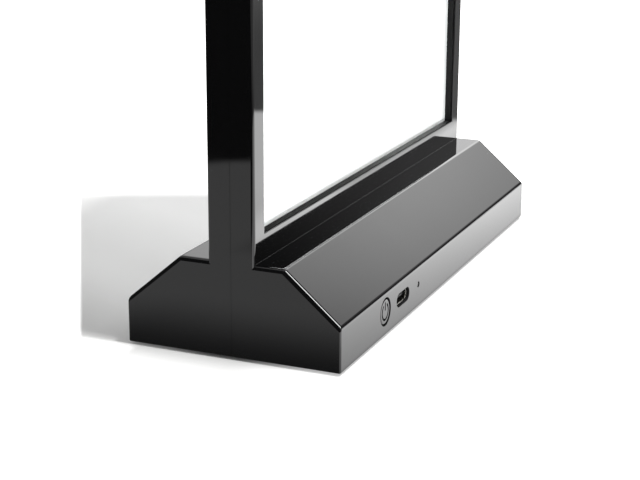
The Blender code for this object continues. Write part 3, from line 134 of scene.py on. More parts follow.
# Depths behind the frame's face between which the groove in the window's mouth lies
GROOVE_PLACE = (0.00025, 0.0006)

# Heights above the window's lower edge between which the glow rises from the rail's painted shade
# to full, and the depth below the pocket's top over which it fades out
RAIL_SHADE_BAND = (0.00025, 0.00055)
GLOW_FADE = 0.001

# The satin tool face is worn smooth from here on to the right
WORN_X = 0.03

# A face looks along Y above the first share, and outward above the second
ALONG_Y = 0.9
OUTWARD = 0.3

# How far cutting tools run past a face, and how near two places count as one
OVERRUN = 0.002
NEAR = 0.00001

# Edges flatter than these are shaded smooth, not rounded in refined pieces, not rounded in the
# plain halves, and dissolved
SMOOTH_ANGLE = math.radians(35)
BEVEL_ANGLE = math.radians(40)
LEAST_ANGLE = math.radians(10)
DISSOLVE_ANGLE = math.radians(1)

# For each axis of a prism, where its outline's two values and its length go
AXES = {"x": (1, 2, 0), "y": (0, 2, 1), "z": (0, 1, 2)}


def hex_colour(text):
    """An sRGB hex value as the linear colour that the shaders work in."""
    linear = []
    for start in (0, 2, 4):
        value = int(text[start:start + 2], 16) / 255
        linear.append(value / 12.92 if value <= 0.04045 else ((value + 0.055) / 1.055) ** 2.4)
    return tuple(linear)


def length(name, description, default):
    """A length that a user may change."""
    return FloatProperty(name=name, description=description, default=default, min=0, unit="LENGTH")


def colour(name, description, default):
    """A colour that a user may change."""
    return FloatVectorProperty(
        name=name, description=description, default=hex_colour(default), min=0, max=1,
        size=3, subtype="COLOR",
    )


class StandShape(bpy.types.PropertyGroup):
    """Sizes that the moulded pieces are refined with."""

    edge_radius: length("Edge", "Rounding of the outer edges of each half", 0.0012)
    post_radius: length("Post", "Rounding of the frame's upright edges", 0.0008)
    corner_radius: length("Base corner", "Rounding of the base's upright corners", 0.0005)
    ridge_radius: length("Ridge", "Rounding between the top and the slope of the base", 0.0005)
    shoulder_radius: length("Shoulder", "Rounding between the slope and the base's side", 0.0007)
    foot_radius: length("Foot of the frame", "Fillet where the frame meets the base", 0.00004)
    mouth_radius: length("Window mouth", "Rounding where the border turns in", 0.00015)
    shadow_line: length("Shadow line", "Depth of the fine groove inside the window mouth", 0.0003)
    seam_radius: length("Seam", "Rounding of the two halves along their seam", 0.00003)
    rim_radius: length("Rims", "Rounding of the holes for the controls", 0.0002)
    notch_radius: length("Finger notch", "Rounding of the finger notches", 0.0002)
    button_edge: length("Button edge", "Rounding of the power button", 0.0006)
    symbol_radius: length("Symbol", "Radius of the ring of the power symbol", 0.0021)
    symbol_stroke: length("Symbol stroke", "Width of the engraved lines", 0.0006)
    symbol_depth: length("Symbol depth", "Depth of the engraved lines", 0.0003)
    edge_segments: IntProperty(
        name="Edge steps", description="Steps of each outer rounding", default=6, min=1
    )


class StandFinish(bpy.types.PropertyGroup):
    """Colours and glow of the stand's materials."""

    housing: colour("Housing", "Gloss black moulding", "070708")
    satin: colour("Satin", "Satin black moulding inside the border", "0B0B0C")
    cover: colour("Cover", "Bottom cover", "161617")
    rubber: colour("Feet", "Rubber of the feet", "1B1B1B")
    paper: colour("Sheet", "Blank sheet", "F6F6F3")
    white_plastic: colour("White moulding", "Carrier and diffuser", "ECECE8")
    solder_mask: colour("Circuit board", "Solder mask of the circuit board", "15502D")
    sleeve: colour("Cell sleeve", "Shrink sleeve of the cell", "3E5F8C")
    glow: FloatProperty(
        name="Glow", description="Brightness of the lit sheets", default=1.15, min=0
    )


class StandStudio(bpy.types.PropertyGroup):
    """Camera, floor, lamp and room."""

    lens: FloatProperty(
        name="Lens", description="Focal length", default=87.47, min=1, unit="CAMERA"
    )
    azimuth: FloatProperty(
        name="Heading", description="The camera's heading from +X", default=math.radians(22.95),
        subtype="ANGLE",
    )
    tilt: FloatProperty(
        name="Tilt", description="How far the camera looks down", default=math.radians(16.32),
        subtype="ANGLE",
    )
    roll: FloatProperty(
        name="Roll", description="The camera's roll", default=math.radians(0.30), subtype="ANGLE"
    )
    eye: FloatVectorProperty(
        name="Eye", description="The camera's place", default=(-0.3976, -0.1588, 0.1351),
        size=3, subtype="TRANSLATION", unit="LENGTH",
    )
    floor: colour("Floor", "Pale floor", "E7E7E6")
    fill: FloatProperty(name="Fill", description="Light from all round", default=0.45, min=0)
    key: FloatProperty(
        name="Key", description="Power of the high lamp in front", default=14.0, min=0,
        unit="POWER",
    )
    room: FloatProperty(
        name="Room", description="Brightness of the dim room that gloss shows", default=0.06, min=0
    )


def shape_values():
    """The shape settings of this scene."""
    return bpy.context.scene.stand_shape


def finish_values():
    """The finish settings of this scene."""
    return bpy.context.scene.stand_finish


def add_node(tree, kind, settings=None, values=None, links=None):
    """Adds a node, sets its properties and sockets, and links sockets to (node, output)."""
    node = tree.nodes.new(kind)
    for name, value in (settings or {}).items():
        setattr(node, name, value)
    for socket, value in (values or {}).items():
        node.inputs[socket].default_value = value
    for socket, (source, output) in (links or {}).items():
        tree.links.new(source.outputs[output], node.inputs[socket])
    return node


def start_material(name, colour_name, values):
    """A new material's tree and its shader, with a named or hex colour and even values on it."""
    if colour_name in StandFinish.__annotations__:
        base = getattr(finish_values(), colour_name)
    else:
        base = hex_colour(colour_name)
    made = bpy.data.materials.new(name)
    made.use_nodes = True
    made.diffuse_color = (*base, 1)
    shader = made.node_tree.nodes["Principled BSDF"]
    for socket, value in {"Base Color": (*base, 1), **values}.items():
        shader.inputs[socket].default_value = value
    return made, made.node_tree, shader


def add_pattern(tree, shader, kind, values, settings=None, stretch=(1, 1, 1), output="Fac",
                spread=(0.35, 0.65), roughness=None, relief=0.0):
    """Lets a pattern on the object move a shader's roughness and raise its surface.

    The roughness goes from one value to another over a spread of the pattern, and the relief is a
    depth in metres. A stretch below 1 draws the pattern out along that axis.
    """
    place = add_node(tree, "ShaderNodeTexCoord")
    drawn = add_node(
        tree, "ShaderNodeMapping", values={"Scale": stretch}, links={"Vector": (place, "Object")}
    )
    pattern = add_node(tree, kind, settings, values, {"Vector": (drawn, "Vector")})
    if roughness is not None:
        limits = add_node(
            tree, "ShaderNodeMapRange",
            values={
                "From Min": spread[0], "From Max": spread[1],
                "To Min": roughness[0], "To Max": roughness[1],
            },
            links={"Value": (pattern, output)},
        )
        tree.links.new(limits.outputs["Result"], shader.inputs["Roughness"])
    if relief:
        bump = add_node(
            tree, "ShaderNodeBump", values={"Distance": relief},
            links={"Height": (pattern, output)},
        )
        tree.links.new(bump.outputs["Normal"], shader.inputs["Normal"])
    return pattern


# Finishes with one grain: (name, colour, size of the grain, its detail, roughness from and to,
# depth of relief, even values, stretch of the grain), with lengths in metres
GRAINED = {
    # ABS, moulded with a coarse leather-like tool texture of 0.6 mm: dull and even
    "cover": ("abs_textured_black", "cover", 0.0006, 4, (0.48, 0.66), 0.00004),
    # Rubber, compression-moulded: matt grey-black with a faint bloom in patches
    "feet": ("rubber_moulded_black", "rubber", 0.0008, 5, (0.66, 0.88), 0.00002),
    # Acrylic, cast and polished: clear, with a mirror-like skin
    "window": ("acrylic_polished_clear", "FBFDFD", 0.02, 3, (0.0, 0.012), 0,
               {"IOR": 1.49, "Transmission Weight": 1.0}),
    # ABS, moulded white: satin, so that it throws lamp light back into the guide
    "white_moulding": ("abs_moulded_white", "white_plastic", 0.0005, 3, (0.4, 0.52), 0.00001),
    # Epoxy, transfer-moulded round the component: matt dark grey, finely pitted
    "black_component": ("epoxy_moulded_black", "1A1A1B", 0.00025, 3, (0.52, 0.72), 0.00001),
    # Steel, cold-headed and zinc-plated black: soft highlights with darker worn patches
    "screws": ("steel_black_zinc", "4A4A4C", 0.0006, 4, (0.26, 0.46), 0.000006,
               {"Metallic": 1.0}),
    # Polycarbonate, moulded smoky: it hides the lamp behind it until that is lit
    "light_pipe": ("polycarbonate_smoky", "6E6E70", 0.0004, 3, (0.08, 0.2), 0,
                   {"IOR": 1.58, "Transmission Weight": 0.6}),
    # Epoxy, cast and tinted: a cloudy lens with a smooth skin
    "indicator_lamp": ("epoxy_cast_milky", "E8E2D6", 0.0006, 3, (0.1, 0.22), 0,
                       {"IOR": 1.54, "Transmission Weight": 0.35}),
    # Nickel-plated steel, drawn, and nickel strip, rolled: fine scratches lie along their length
    "socket_metal": ("steel_drawn_nickel_plated", "B4B2AC", 0.0002, 2, (0.18, 0.32), 0.000003,
                     {"Metallic": 1.0}, (1.0, 0.08, 1.0)),
    "tabs": ("nickel_rolled_strip", "BDB8AC", 0.0002, 2, (0.225, 0.375), 0.000003,
             {"Metallic": 1.0}, (1.0, 0.08, 1.0)),
    # PVC, extruded over the wire: waxy, with slight ripples 1.5 mm apart
    "red_lead": ("pvc_lead_red", "A3201B", 0.0015, 3, (0.34, 0.48), 0.00001),
    "black_lead": ("pvc_lead_black", "1C1C1D", 0.0015, 3, (0.34, 0.48), 0.00001),
}


def grained(name, colour_name, size, detail, roughness, relief, values=None, stretch=(1, 1, 1)):
    """A material with one grain."""
    made, tree, shader = start_material(name, colour_name, values or {})
    add_pattern(
        tree, shader, "ShaderNodeTexNoise", {"Scale": 1 / size, "Detail": detail},
        stretch=stretch, roughness=roughness, relief=relief,
    )
    return made


def gloss_abs():
    """ABS moulded in a mirror-polished tool.

    Deep black with clean reflections, which wander a little because the walls sink as they cool.
    """
    made, tree, shader = start_material("abs_mirror_moulded_black", "housing", {"IOR": 1.52})
    clouds = {"Scale": 1 / 0.009, "Detail": 3}
    sink = {"Scale": 1 / 0.028, "Detail": 1}
    add_pattern(tree, shader, "ShaderNodeTexNoise", clouds, roughness=(0.03, 0.06))
    add_pattern(tree, shader, "ShaderNodeTexNoise", sink, relief=0.00003)
    return made


def satin_abs():
    """ABS moulded against a spark-eroded tool face.

    Its fine grain, drawn at 0.3 mm so that it shows, spreads light and hides the reflections. It
    shines more towards one end of the stand, where the worn tool face is smoother.
    """
    made, tree, shader = start_material("abs_spark_eroded_black", "satin", {"IOR": 1.35})
    add_pattern(
        tree, shader, "ShaderNodeTexNoise", {"Scale": 1 / 0.0003, "Detail": 2}, relief=0.000012
    )
    place = add_node(tree, "ShaderNodeTexCoord")
    split = add_node(tree, "ShaderNodeSeparateXYZ", links={"Vector": (place, "Object")})
    wear = add_node(
        tree, "ShaderNodeMapRange",
        values={"From Min": -END_FACE, "From Max": WORN_X, "To Min": 1.0, "To Max": 0.45},
        links={"Value": (split, "X")},
    )
    tree.links.new(wear.outputs["Result"], shader.inputs["Roughness"])
    return made


def lit_strength(tree, shader):
    """The glow painted on a lit layer as emission: painted shade of the rail dims it just above
    the rail, and it is gone past the lamps' reach.
    """
    shader.inputs["Emission Color"].default_value = (1, 1, 1, 1)
    place = add_node(tree, "ShaderNodeNewGeometry")
    height = add_node(tree, "ShaderNodeSeparateXYZ", links={"Vector": (place, "Position")})
    # Painted shade: the glow drops to four tenths along the sheet's foot, where the rail shades it
    foot = add_node(
        tree, "ShaderNodeMapRange",
        values={
            "From Min": WINDOW_BOTTOM + RAIL_SHADE_BAND[0], "From Max": WINDOW_BOTTOM + RAIL_SHADE_BAND[1],
            "To Min": 0.4, "To Max": 1.0,
        },
        links={"Value": (height, "Z")},
    )
    inside = add_node(
        tree, "ShaderNodeMapRange",
        values={
            "From Min": POCKET_TOP - GLOW_FADE, "From Max": POCKET_TOP,
            "To Min": finish_values().glow, "To Max": 0.0,
        },
        links={"Value": (height, "Z")},
    )
    return add_node(
        tree, "ShaderNodeMath", {"operation": "MULTIPLY"},
        links={0: (foot, "Result"), 1: (inside, "Result")},
    )


def lit_paper():
    """Paper, uncoated and blank: lit through from behind where it stands before the light panel.

    Cloudy fibres about 2 mm across show faintly in it.
    """
    made, tree, shader = start_material(
        "paper_blank_white", "paper", {"Roughness": 0.9, "IOR": 1.4}
    )
    fibres = add_pattern(
        tree, shader, "ShaderNodeTexNoise", {"Scale": 1 / 0.002, "Detail": 6, "Roughness": 0.7},
        relief=0.00001,
    )
    cloud = add_node(
        tree, "ShaderNodeMapRange",
        values={"From Min": 0.3, "From Max": 0.7, "To Min": 0.96, "To Max": 1.04},
        links={"Value": (fibres, "Fac")},
    )
    glow = add_node(
        tree, "ShaderNodeMath", {"operation": "MULTIPLY"},
        links={0: (lit_strength(tree, shader), "Value"), 1: (cloud, "Result")},
    )
    tree.links.new(glow.outputs["Value"], shader.inputs["Emission Strength"])
    return made


def lit_film():
    """Polycarbonate film, extruded and filled white: an even glow with a smooth, silky skin."""
    made, tree, shader = start_material(
        "polycarbonate_opal_film", "white_plastic", {"IOR": 1.58}
    )
    strength = lit_strength(tree, shader)
    tree.links.new(strength.outputs["Value"], shader.inputs["Emission Strength"])
    clouds = {"Scale": 1 / 0.004, "Detail": 3}
    add_pattern(tree, shader, "ShaderNodeTexNoise", clouds, roughness=(0.45, 0.55))
    return made


def guide_acrylic():
    """Acrylic plate with laser-etched dots 1.2 mm apart, which let the light out of its faces."""
    made, tree, shader = start_material("acrylic_etched_guide", "F4F9F9", {
        "IOR": 1.49, "Transmission Weight": 1.0, "Emission Color": (1, 1, 1, 1),
        "Emission Strength": 0.3,
    })
    add_pattern(
        tree, shader, "ShaderNodeTexVoronoi", {"Scale": 1 / 0.0012, "Randomness": 0.0},
        output="Distance", spread=(0.22, 0.3), roughness=(0.7, 0.03),
    )
    return made


def lamp_board():
    """Glass-fibre board under white solder mask: silk smooth, with a faint weave of 0.57 mm.

    The wave turns by ten radians for each unit along each of the three axes.
    """
    made, tree, shader = start_material("fibre_board_white_mask", "F1F0EA", {"Roughness": 0.35})
    add_pattern(
        tree, shader, "ShaderNodeTexWave",
        {"Scale": math.tau / 10 / math.sqrt(3) / 0.00057, "Distortion": 0.4},
        {"bands_direction": "DIAGONAL"}, relief=0.000008,
    )
    return made


def circuit_mask():
    """Glass-fibre board under green solder mask: copper tracks show through as lighter lines."""
    made, tree, shader = start_material(
        "fibre_board_green_mask", "solder_mask", {"Roughness": 0.3}
    )
    base = finish_values().solder_mask
    tracks = add_pattern(
        tree, shader, "ShaderNodeTexBrick",
        {
            "Color1": (*base, 1), "Color2": (*[value * 0.8 for value in base], 1),
            "Mortar": (*[min(1, value * 1.9 + 0.01) for value in base], 1),
            "Scale": 1.0, "Mortar Size": 0.00022, "Brick Width": 0.0062, "Row Height": 0.0021,
        },
        {"offset": 0.35, "squash": 1.4}, relief=0.00003,
    )
    tree.links.new(tracks.outputs["Color"], shader.inputs["Base Color"])
    return made


def shrink_sleeve():
    """PVC film, shrunk round the cell: semi-gloss with faint lengthways stretch marks."""
    made, tree, shader = start_material("pvc_shrink_sleeve", "sleeve", {})
    clouds = {"Scale": 1 / 0.003, "Detail": 3}
    marks = {"Scale": 1 / 0.0015, "Detail": 3}
    add_pattern(tree, shader, "ShaderNodeTexNoise", clouds, roughness=(0.22, 0.36))
    add_pattern(
        tree, shader, "ShaderNodeTexNoise", marks, stretch=(0.12, 1.0, 1.0), relief=0.00003
    )
    return made


FINISHES = {
    "housing": gloss_abs,
    "satin": satin_abs,
    "sheet": lit_paper,
    "diffuser": lit_film,
    "light_guide": guide_acrylic,
    "lamp_strip": lamp_board,
    "circuit_board": circuit_mask,
    "cell": shrink_sleeve,
}
made_finishes = {}


def finish(slot):
    """A material of the stand, made the first time it is asked for."""
    if slot not in made_finishes:
        made_finishes[slot] = FINISHES[slot]() if slot in FINISHES else grained(*GRAINED[slot])
    return made_finishes[slot]


def along(axis, first, second, third):
    """A point from two values across an axis and one along it."""
    point = [0.0, 0.0, 0.0]
    for index, value in zip(AXES[axis], (first, second, third)):
        point[index] = value
    return Vector(point)


def add_prism(shape, axis, outline, start, end):
    """Adds a closed prism along an axis to a bmesh, from an outline of points across that axis."""
    near = [shape.verts.new(along(axis, *point, start)) for point in outline]
    far = [shape.verts.new(along(axis, *point, end)) for point in outline]
    shape.faces.new(near)
    shape.faces.new(far)
    count = len(outline)
    for number in range(count):
        following = (number + 1) % count
        shape.faces.new((near[number], near[following], far[following], far[number]))


def rectangle(low_first, high_first, low_second, high_second):
    """The outline of a rectangle."""
    return [
        (low_first, low_second),
        (high_first, low_second),
        (high_first, high_second),
        (low_first, high_second),
    ]


def arc(centre, radius, start, end, steps):
    """Points along an arc, in degrees, both ends included."""
    points = []
    for step in range(steps + 1):
        angle = math.radians(start + (end - start) * step / steps)
        points.append(
            (centre[0] + radius * math.cos(angle), centre[1] + radius * math.sin(angle))
        )
    return points


def circle(centre, radius, steps):
    """The outline of a circle."""
    return arc(centre, radius, 0, 360 - 360 / steps, steps - 1)


def bar(centre, width, height, steps=12):
    """The outline of a bar with full round ends."""
    reach = (width - height) / 2
    right = arc((centre[0] + reach, centre[1]), height / 2, -90, 90, steps)
    left = arc((centre[0] - reach, centre[1]), height / 2, 90, 270, steps)
    return right + left


@contextmanager
def open_mesh(mesh):
    """A mesh opened for editing and written back at the end."""
    shape = bmesh.new()
    shape.from_mesh(mesh)
    yield shape
    shape.to_mesh(mesh)
    shape.free()


def place_object(name, material, mesh=None):
    """An object at the origin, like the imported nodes, with a material and a new or given mesh."""
    mesh = mesh or bpy.data.meshes.new(name)
    mesh.materials.append(material)
    obj = bpy.data.objects.new(name, mesh)
    bpy.context.scene.collection.objects.link(obj)
    return obj


def block(name, prisms, slot="satin"):
    """An object made of closed prisms, each given as (axis, outline, start, end)."""
    obj = place_object(name, finish(slot))
    with open_mesh(obj.data) as shape:
        for prism in prisms:
            add_prism(shape, *prism)
        bmesh.ops.recalc_face_normals(shape, faces=shape.faces)
    return obj


def cut(obj, tool, operation="DIFFERENCE"):
    """Cuts one object out of another, or joins it on, with an exact Boolean."""
    modifier = obj.modifiers.new(tool.name, "BOOLEAN")
    modifier.operation = operation
    modifier.solver = "EXACT"
    modifier.material_mode = "TRANSFER"
    modifier.object = tool
    return tool


def applied(obj, tools=()):
    """Applies an object's modifiers, removes the tools that they used, and gives its mesh."""
    bpy.context.view_layer.update()
    graph = bpy.context.evaluated_depsgraph_get()
    mesh = bpy.data.meshes.new_from_object(
        obj.evaluated_get(graph), preserve_all_data_layers=True, depsgraph=graph
    )
    obj.modifiers.clear()
    bare = obj.data
    obj.data = mesh
    bpy.data.meshes.remove(bare)
    for tool in tools:
        bpy.data.meshes.remove(tool.data)
    return mesh


def weld(shape):
    """Merges doubled points and joins faces that lie in one plane."""
    bmesh.ops.remove_doubles(shape, verts=shape.verts, dist=0.000001)
    bmesh.ops.dissolve_limit(
        shape, angle_limit=DISSOLVE_ANGLE, verts=shape.verts, edges=shape.edges,
        delimit={"MATERIAL"},
    )


def finish_piece(obj, body, node):
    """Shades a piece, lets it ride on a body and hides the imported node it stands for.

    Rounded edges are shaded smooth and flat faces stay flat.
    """
    obj.data.shade_smooth()
    obj.data.set_sharp_from_angle(angle=SMOOTH_ANGLE)
    weighted = obj.modifiers.new("flat faces", "WEIGHTED_NORMAL")
    weighted.keep_sharp = True
    applied(obj)
    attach(obj, body)
    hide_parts(node)


def on_side(side, *places):
    """Places of (distance from the mid-plane, height) as (y, z) on one side."""
    return [(side * distance, height) for distance, height in places]


def rounding_radius(edge, side):
    """The radius that an edge of the plain half is rounded to."""
    values = shape_values()
    first, second = [vert.co for vert in edge.verts]
    middle = (first + second) / 2
    distance = side * middle.y
    on_end = abs(abs(middle.x) - END_FACE) < NEAR
    on_frame = abs(distance - FRAME_FACE) < NEAR
    on_base = abs(distance - BASE_FACE) < NEAR
    on_base_top = abs(middle.z - BASE_TOP) < NEAR
    upright = on_end and abs(first.z - second.z) > NEAR and abs(first.y - second.y) < NEAR
    if distance < SEAM_FACE + NEAR or edge.calc_face_angle(0) < LEAST_ANGLE:
        return 0
    if on_frame and on_base_top:
        return values.foot_radius
    if abs(distance - RIDGE) < NEAR and on_base_top:
        return values.ridge_radius
    if on_base and abs(middle.z - SIDE_TOP) < NEAR and not on_end:
        return values.shoulder_radius
    if upright and on_frame:
        return values.post_radius
    if abs(middle.x) < END_FACE - NEAR and WINDOW_BOTTOM - NEAR < middle.z < WINDOW_TOP + NEAR:
        return values.mouth_radius if on_frame else 0
    if (upright and on_base) or middle.z < BOTTOM + NEAR:
        return values.corner_radius
    return values.edge_radius


def plain_half(name, side):
    """One half with its window opening cut and its outer edges rounded, still solid."""
    values = shape_values()
    outline = on_side(
        side, (SEAM_FACE, BOTTOM), (BASE_FACE, BOTTOM), (BASE_FACE, SIDE_TOP), (RIDGE, BASE_TOP),
        (FRAME_FACE, BASE_TOP), (FRAME_FACE, TOP), (SEAM_FACE, TOP),
    )
    body = block(name, [("x", outline, -END_FACE, END_FACE)], "housing")
    opening = rectangle(-WINDOW_HALF, WINDOW_HALF, WINDOW_BOTTOM, WINDOW_TOP)
    through = ("y", opening, -side * OVERRUN, side * (FRAME_FACE + OVERRUN))
    with open_mesh(applied(body, [cut(body, block("opening", [through]))])) as shape:
        weld(shape)
        weights = shape.edges.layers.float.new("bevel_weight_edge")
        for edge in shape.edges:
            edge[weights] = rounding_radius(edge, side) / values.edge_radius
    rounding = body.modifiers.new("roundings", "BEVEL")
    rounding.width = values.edge_radius
    rounding.segments = values.edge_segments
    rounding.limit_method = "WEIGHT"
    rounding.material = 0
    return body


def hollow_tools(side):
    """The hollow of one half of the base, and the other tools that shape it.

    Its ribs, which leave room for the cell, and its screw bosses stay standing.
    """
    outline = on_side(
        side, (-OVERRUN, BOTTOM - OVERRUN), (WALL_INNER, BOTTOM - OVERRUN),
        (WALL_INNER, HOLLOW_SIDE_TOP), (HOLLOW_CEILING_FACE, CEILING), (-OVERRUN, CEILING),
    )
    hollow = block("hollow", [("x", outline, -END_FACE + WALL, END_FACE - WALL)])
    rib = rectangle(side * SEAM_FACE, side * BASE_FACE, RIB_BOTTOM, CEILING + OVERRUN)
    ribs = block("ribs", [
        ("x", rib, x - RIB_THICKNESS / 2, x + RIB_THICKNESS / 2) for x in RIB_PLACES
    ])
    room = ("x", circle((0, CELL_HEIGHT), CELL_ROOM_RADIUS, 96), CELL_LOW.x, CELL_HIGH.x)
    bosses = block("bosses", [
        ("z", circle((x, y), width / 2, 32), foot, CEILING + OVERRUN)
        for x, y, foot, width, _, _ in boss_places(side)
    ])
    tools = [hollow, cut(ribs, block("cell_room", [room])), cut(hollow, bosses)]
    tools.append(cut(hollow, ribs))
    return tools


def boss_places(side):
    """The screw bosses of one half: x, y, foot, diameter, pilot hole's diameter and its top."""
    x, y, *sizes = COVER_BOSS
    places = [(end * x, side * y, *sizes) for end in ENDS]
    if side == FRONT:
        places += [(x, y, *BOARD_BOSS) for x in BOARD_BOSS_X for y in BOARD_BOSS_Y]
    return places


def peg_prisms(radius, start, end):
    """Round bars along Y at the places of the pegs."""
    return [
        ("y", circle((sign * PEG_X, height), radius, 24), start, end)
        for sign in ENDS
        for height in PEG_HEIGHTS
    ]


def control_holes():
    """The holes for the button, the socket and the light pipe: middle, outline and reach."""
    return [
        (BUTTON_X, circle((BUTTON_X, CONTROL_HEIGHT), BUTTON_HOLE_RADIUS, 64), BUTTON_HOLE_RADIUS),
        (PORT_X, bar((PORT_X, CONTROL_HEIGHT), *PORT_HOLE), PORT_HOLE[0] / 2),
        (PIPE_X, circle((PIPE_X, CONTROL_HEIGHT), PIPE_HOLE_RADIUS, 32), PIPE_HOLE_RADIUS),
    ]


def hole_prisms(side):
    """The small holes of one half, for screws, wires, and controls or pegs."""
    length_x, length_y = WIRE_HOLE
    wire = rectangle(
        WIRE_HOLE_X - length_x / 2, WIRE_HOLE_X + length_x / 2, -length_y / 2, length_y / 2
    )
    holes = [
        ("z", circle((x, y), width / 2, 24), foot - OVERRUN, top)
        for x, y, foot, _, width, top in boss_places(side)
    ]
    holes.append(("z", wire, CEILING - OVERRUN, BASE_TOP + OVERRUN))
    if side == FRONT:
        outside = -BASE_FACE - OVERRUN
        inside = -WALL_INNER + OVERRUN / 2
        return holes + [("y", outline, outside, inside) for _, outline, _ in control_holes()]
    return holes + peg_prisms(PEG_HOLE_RADIUS, -OVERRUN, PEG_HOLE_DEPTH)


def rim_edges(shape, side):
    """Edges round the openings of a half and along its seam, sorted by the rounding they get."""
    values = shape_values()
    holes = control_holes() if side == FRONT else []
    found = {values.seam_radius: [], values.rim_radius: [], values.notch_radius: []}
    for edge in shape.edges:
        if len(edge.link_faces) != 2 or edge.calc_face_angle(0) < SMOOTH_ANGLE:
            continue
        ends = [vert.co for vert in edge.verts]
        distances = [side * point.y for point in ends]
        if all(abs(distance - SEAM_FACE) < NEAR for distance in distances):
            outward = Vector((0, 0, 0))
            if all(abs(point.x) > END_FACE - values.edge_radius - NEAR for point in ends):
                outward.x = math.copysign(1, ends[0].x)
            if all(point.z > TOP - values.edge_radius - NEAR for point in ends):
                outward.z = 1
            faces = [face for face in edge.link_faces if abs(face.normal.y) < ALONG_Y]
            if outward.length and faces and faces[0].normal.dot(outward) > OUTWARD:
                found[values.seam_radius].append(edge)
            continue
        if all(abs(distance - BASE_FACE) < NEAR for distance in distances):
            for x, _, reach in holes:
                if all(
                    math.hypot(point.x - x, point.z - CONTROL_HEIGHT) < reach + NEAR
                    for point in ends
                ):
                    found[values.rim_radius].append(edge)
            continue
        on_notch = all(
            abs(math.hypot(point.x, point.z - NOTCH_MIDDLE) - NOTCH_RADIUS) < NEAR * 2
            for point in ends
        )
        rounded_from = FRAME_FACE - values.edge_radius - NEAR
        if on_notch and all(distance > rounded_from for distance in distances):
            found[values.notch_radius].append(edge)
    return found


def make_half(side):
    """One moulded half of the stand, with its hollow, openings, pegs and rounded edges."""
    side_name = SIDE_NAMES[side]
    body = plain_half(side_name + "_shell", side)
    tools = hollow_tools(side)
    cut(body, tools[0])
    pocket = rectangle(-side * OVERRUN, side * POCKET_DEPTH, BASE_TOP, POCKET_TOP)
    slot = rectangle(
        side * (SHEET_LOW.y - SLOT_CLEARANCE), side * (SHEET_HIGH.y + SLOT_CLEARANCE),
        POCKET_TOP - OVERRUN, TOP + OVERRUN,
    )
    half_width = WINDOW_HALF + shape_values().shadow_line
    low = WINDOW_BOTTOM - shape_values().shadow_line
    high = WINDOW_TOP + shape_values().shadow_line
    groove = rectangle(-half_width, half_width, low, high)
    near, far = sorted(side * (FRAME_FACE - depth) for depth in GROOVE_PLACE)
    notch = circle((0, NOTCH_MIDDLE), NOTCH_RADIUS, 128)
    notch_start = side * (SHEET_LOW.y + SHEET_HIGH.y) / 2
    notch_end = side * (FRAME_FACE + OVERRUN)
    tools += [
        cut(body, block("pocket", [("x", pocket, -POCKET_HALF, POCKET_HALF)])),
        cut(body, block("slot", [("x", slot, -POCKET_HALF, POCKET_HALF)])),
        cut(body, block("groove", [("y", groove, near, far)])),
        cut(body, block("notch", [("y", notch, notch_start, notch_end)], "housing")),
        cut(body, block("holes", hole_prisms(side))),
    ]
    if side == FRONT:
        pegs = block("pegs", peg_prisms(PEG_RADIUS, PEG_ROOT, PEG_LENGTH))
        tools.append(cut(body, pegs, "UNION"))
    with open_mesh(applied(body, tools)) as shape:
        weld(shape)
        for radius, edges in rim_edges(shape, side).items():
            bmesh.ops.bevel(
                shape, geom=[edge for edge in edges if edge.is_valid], offset=radius,
                segments=2, profile=0.5, affect="EDGES", clamp_overlap=True, material=-1,
            )
    finish_piece(body, "stand", side_name + "_housing")


def refine(node, piece, slot, radius, segments=2, body="stand"):
    """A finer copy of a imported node: its small edges rounded and its round faces shaded smooth."""
    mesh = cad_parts[node].data.copy()
    mesh.name = piece
    mesh.materials.clear()
    obj = place_object(piece, finish(slot), mesh)
    with open_mesh(mesh) as shape:
        for face in shape.faces:
            face.material_index = 0
        weld(shape)
    if radius:
        bevel = obj.modifiers.new("small edges", "BEVEL")
        bevel.width = radius
        bevel.segments = segments
        bevel.limit_method = "ANGLE"
        bevel.angle_limit = BEVEL_ANGLE
        applied(obj)
    finish_piece(obj, body, node)


def spun(name, profile, centre, steps):
    """A round piece: (radius, depth) points spun about the line that runs along +Y from a point."""
    obj = place_object(name, finish("housing"))
    with open_mesh(obj.data) as shape:
        rings = []
        for radius, depth in profile:
            turns = [math.tau * step / steps for step in range(steps if radius else 1)]
            rings.append([
                shape.verts.new(
                    centre + Vector((radius * math.cos(turn), depth, radius * math.sin(turn)))
                )
                for turn in turns
            ])
        for first, second in zip(rings, rings[1:]):
            for step in range(steps):
                following = step + 1
                corners = [
                    first[step % len(first)], first[following % len(first)],
                    second[following % len(second)], second[step % len(second)],
                ]
                shape.faces.new(list(dict.fromkeys(corners)))
        bmesh.ops.recalc_face_normals(shape, faces=shape.faces)
    return obj


def symbol_prisms(start, end):
    """The ring, open at its top, and the bar of a plain power symbol."""
    values = shape_values()
    half = values.symbol_stroke / 2
    middle = (BUTTON_X, CONTROL_HEIGHT)
    first, last = SYMBOL_RING
    low, high = [CONTROL_HEIGHT + values.symbol_radius * share for share in SYMBOL_BAR]
    outer = arc(middle, values.symbol_radius + half, first, last, 40)
    inner = arc(middle, values.symbol_radius - half, last, first, 40)
    line = rectangle(BUTTON_X - half, BUTTON_X + half, low, high)
    return [("y", outer + inner, start, end), ("y", line, start, end)]


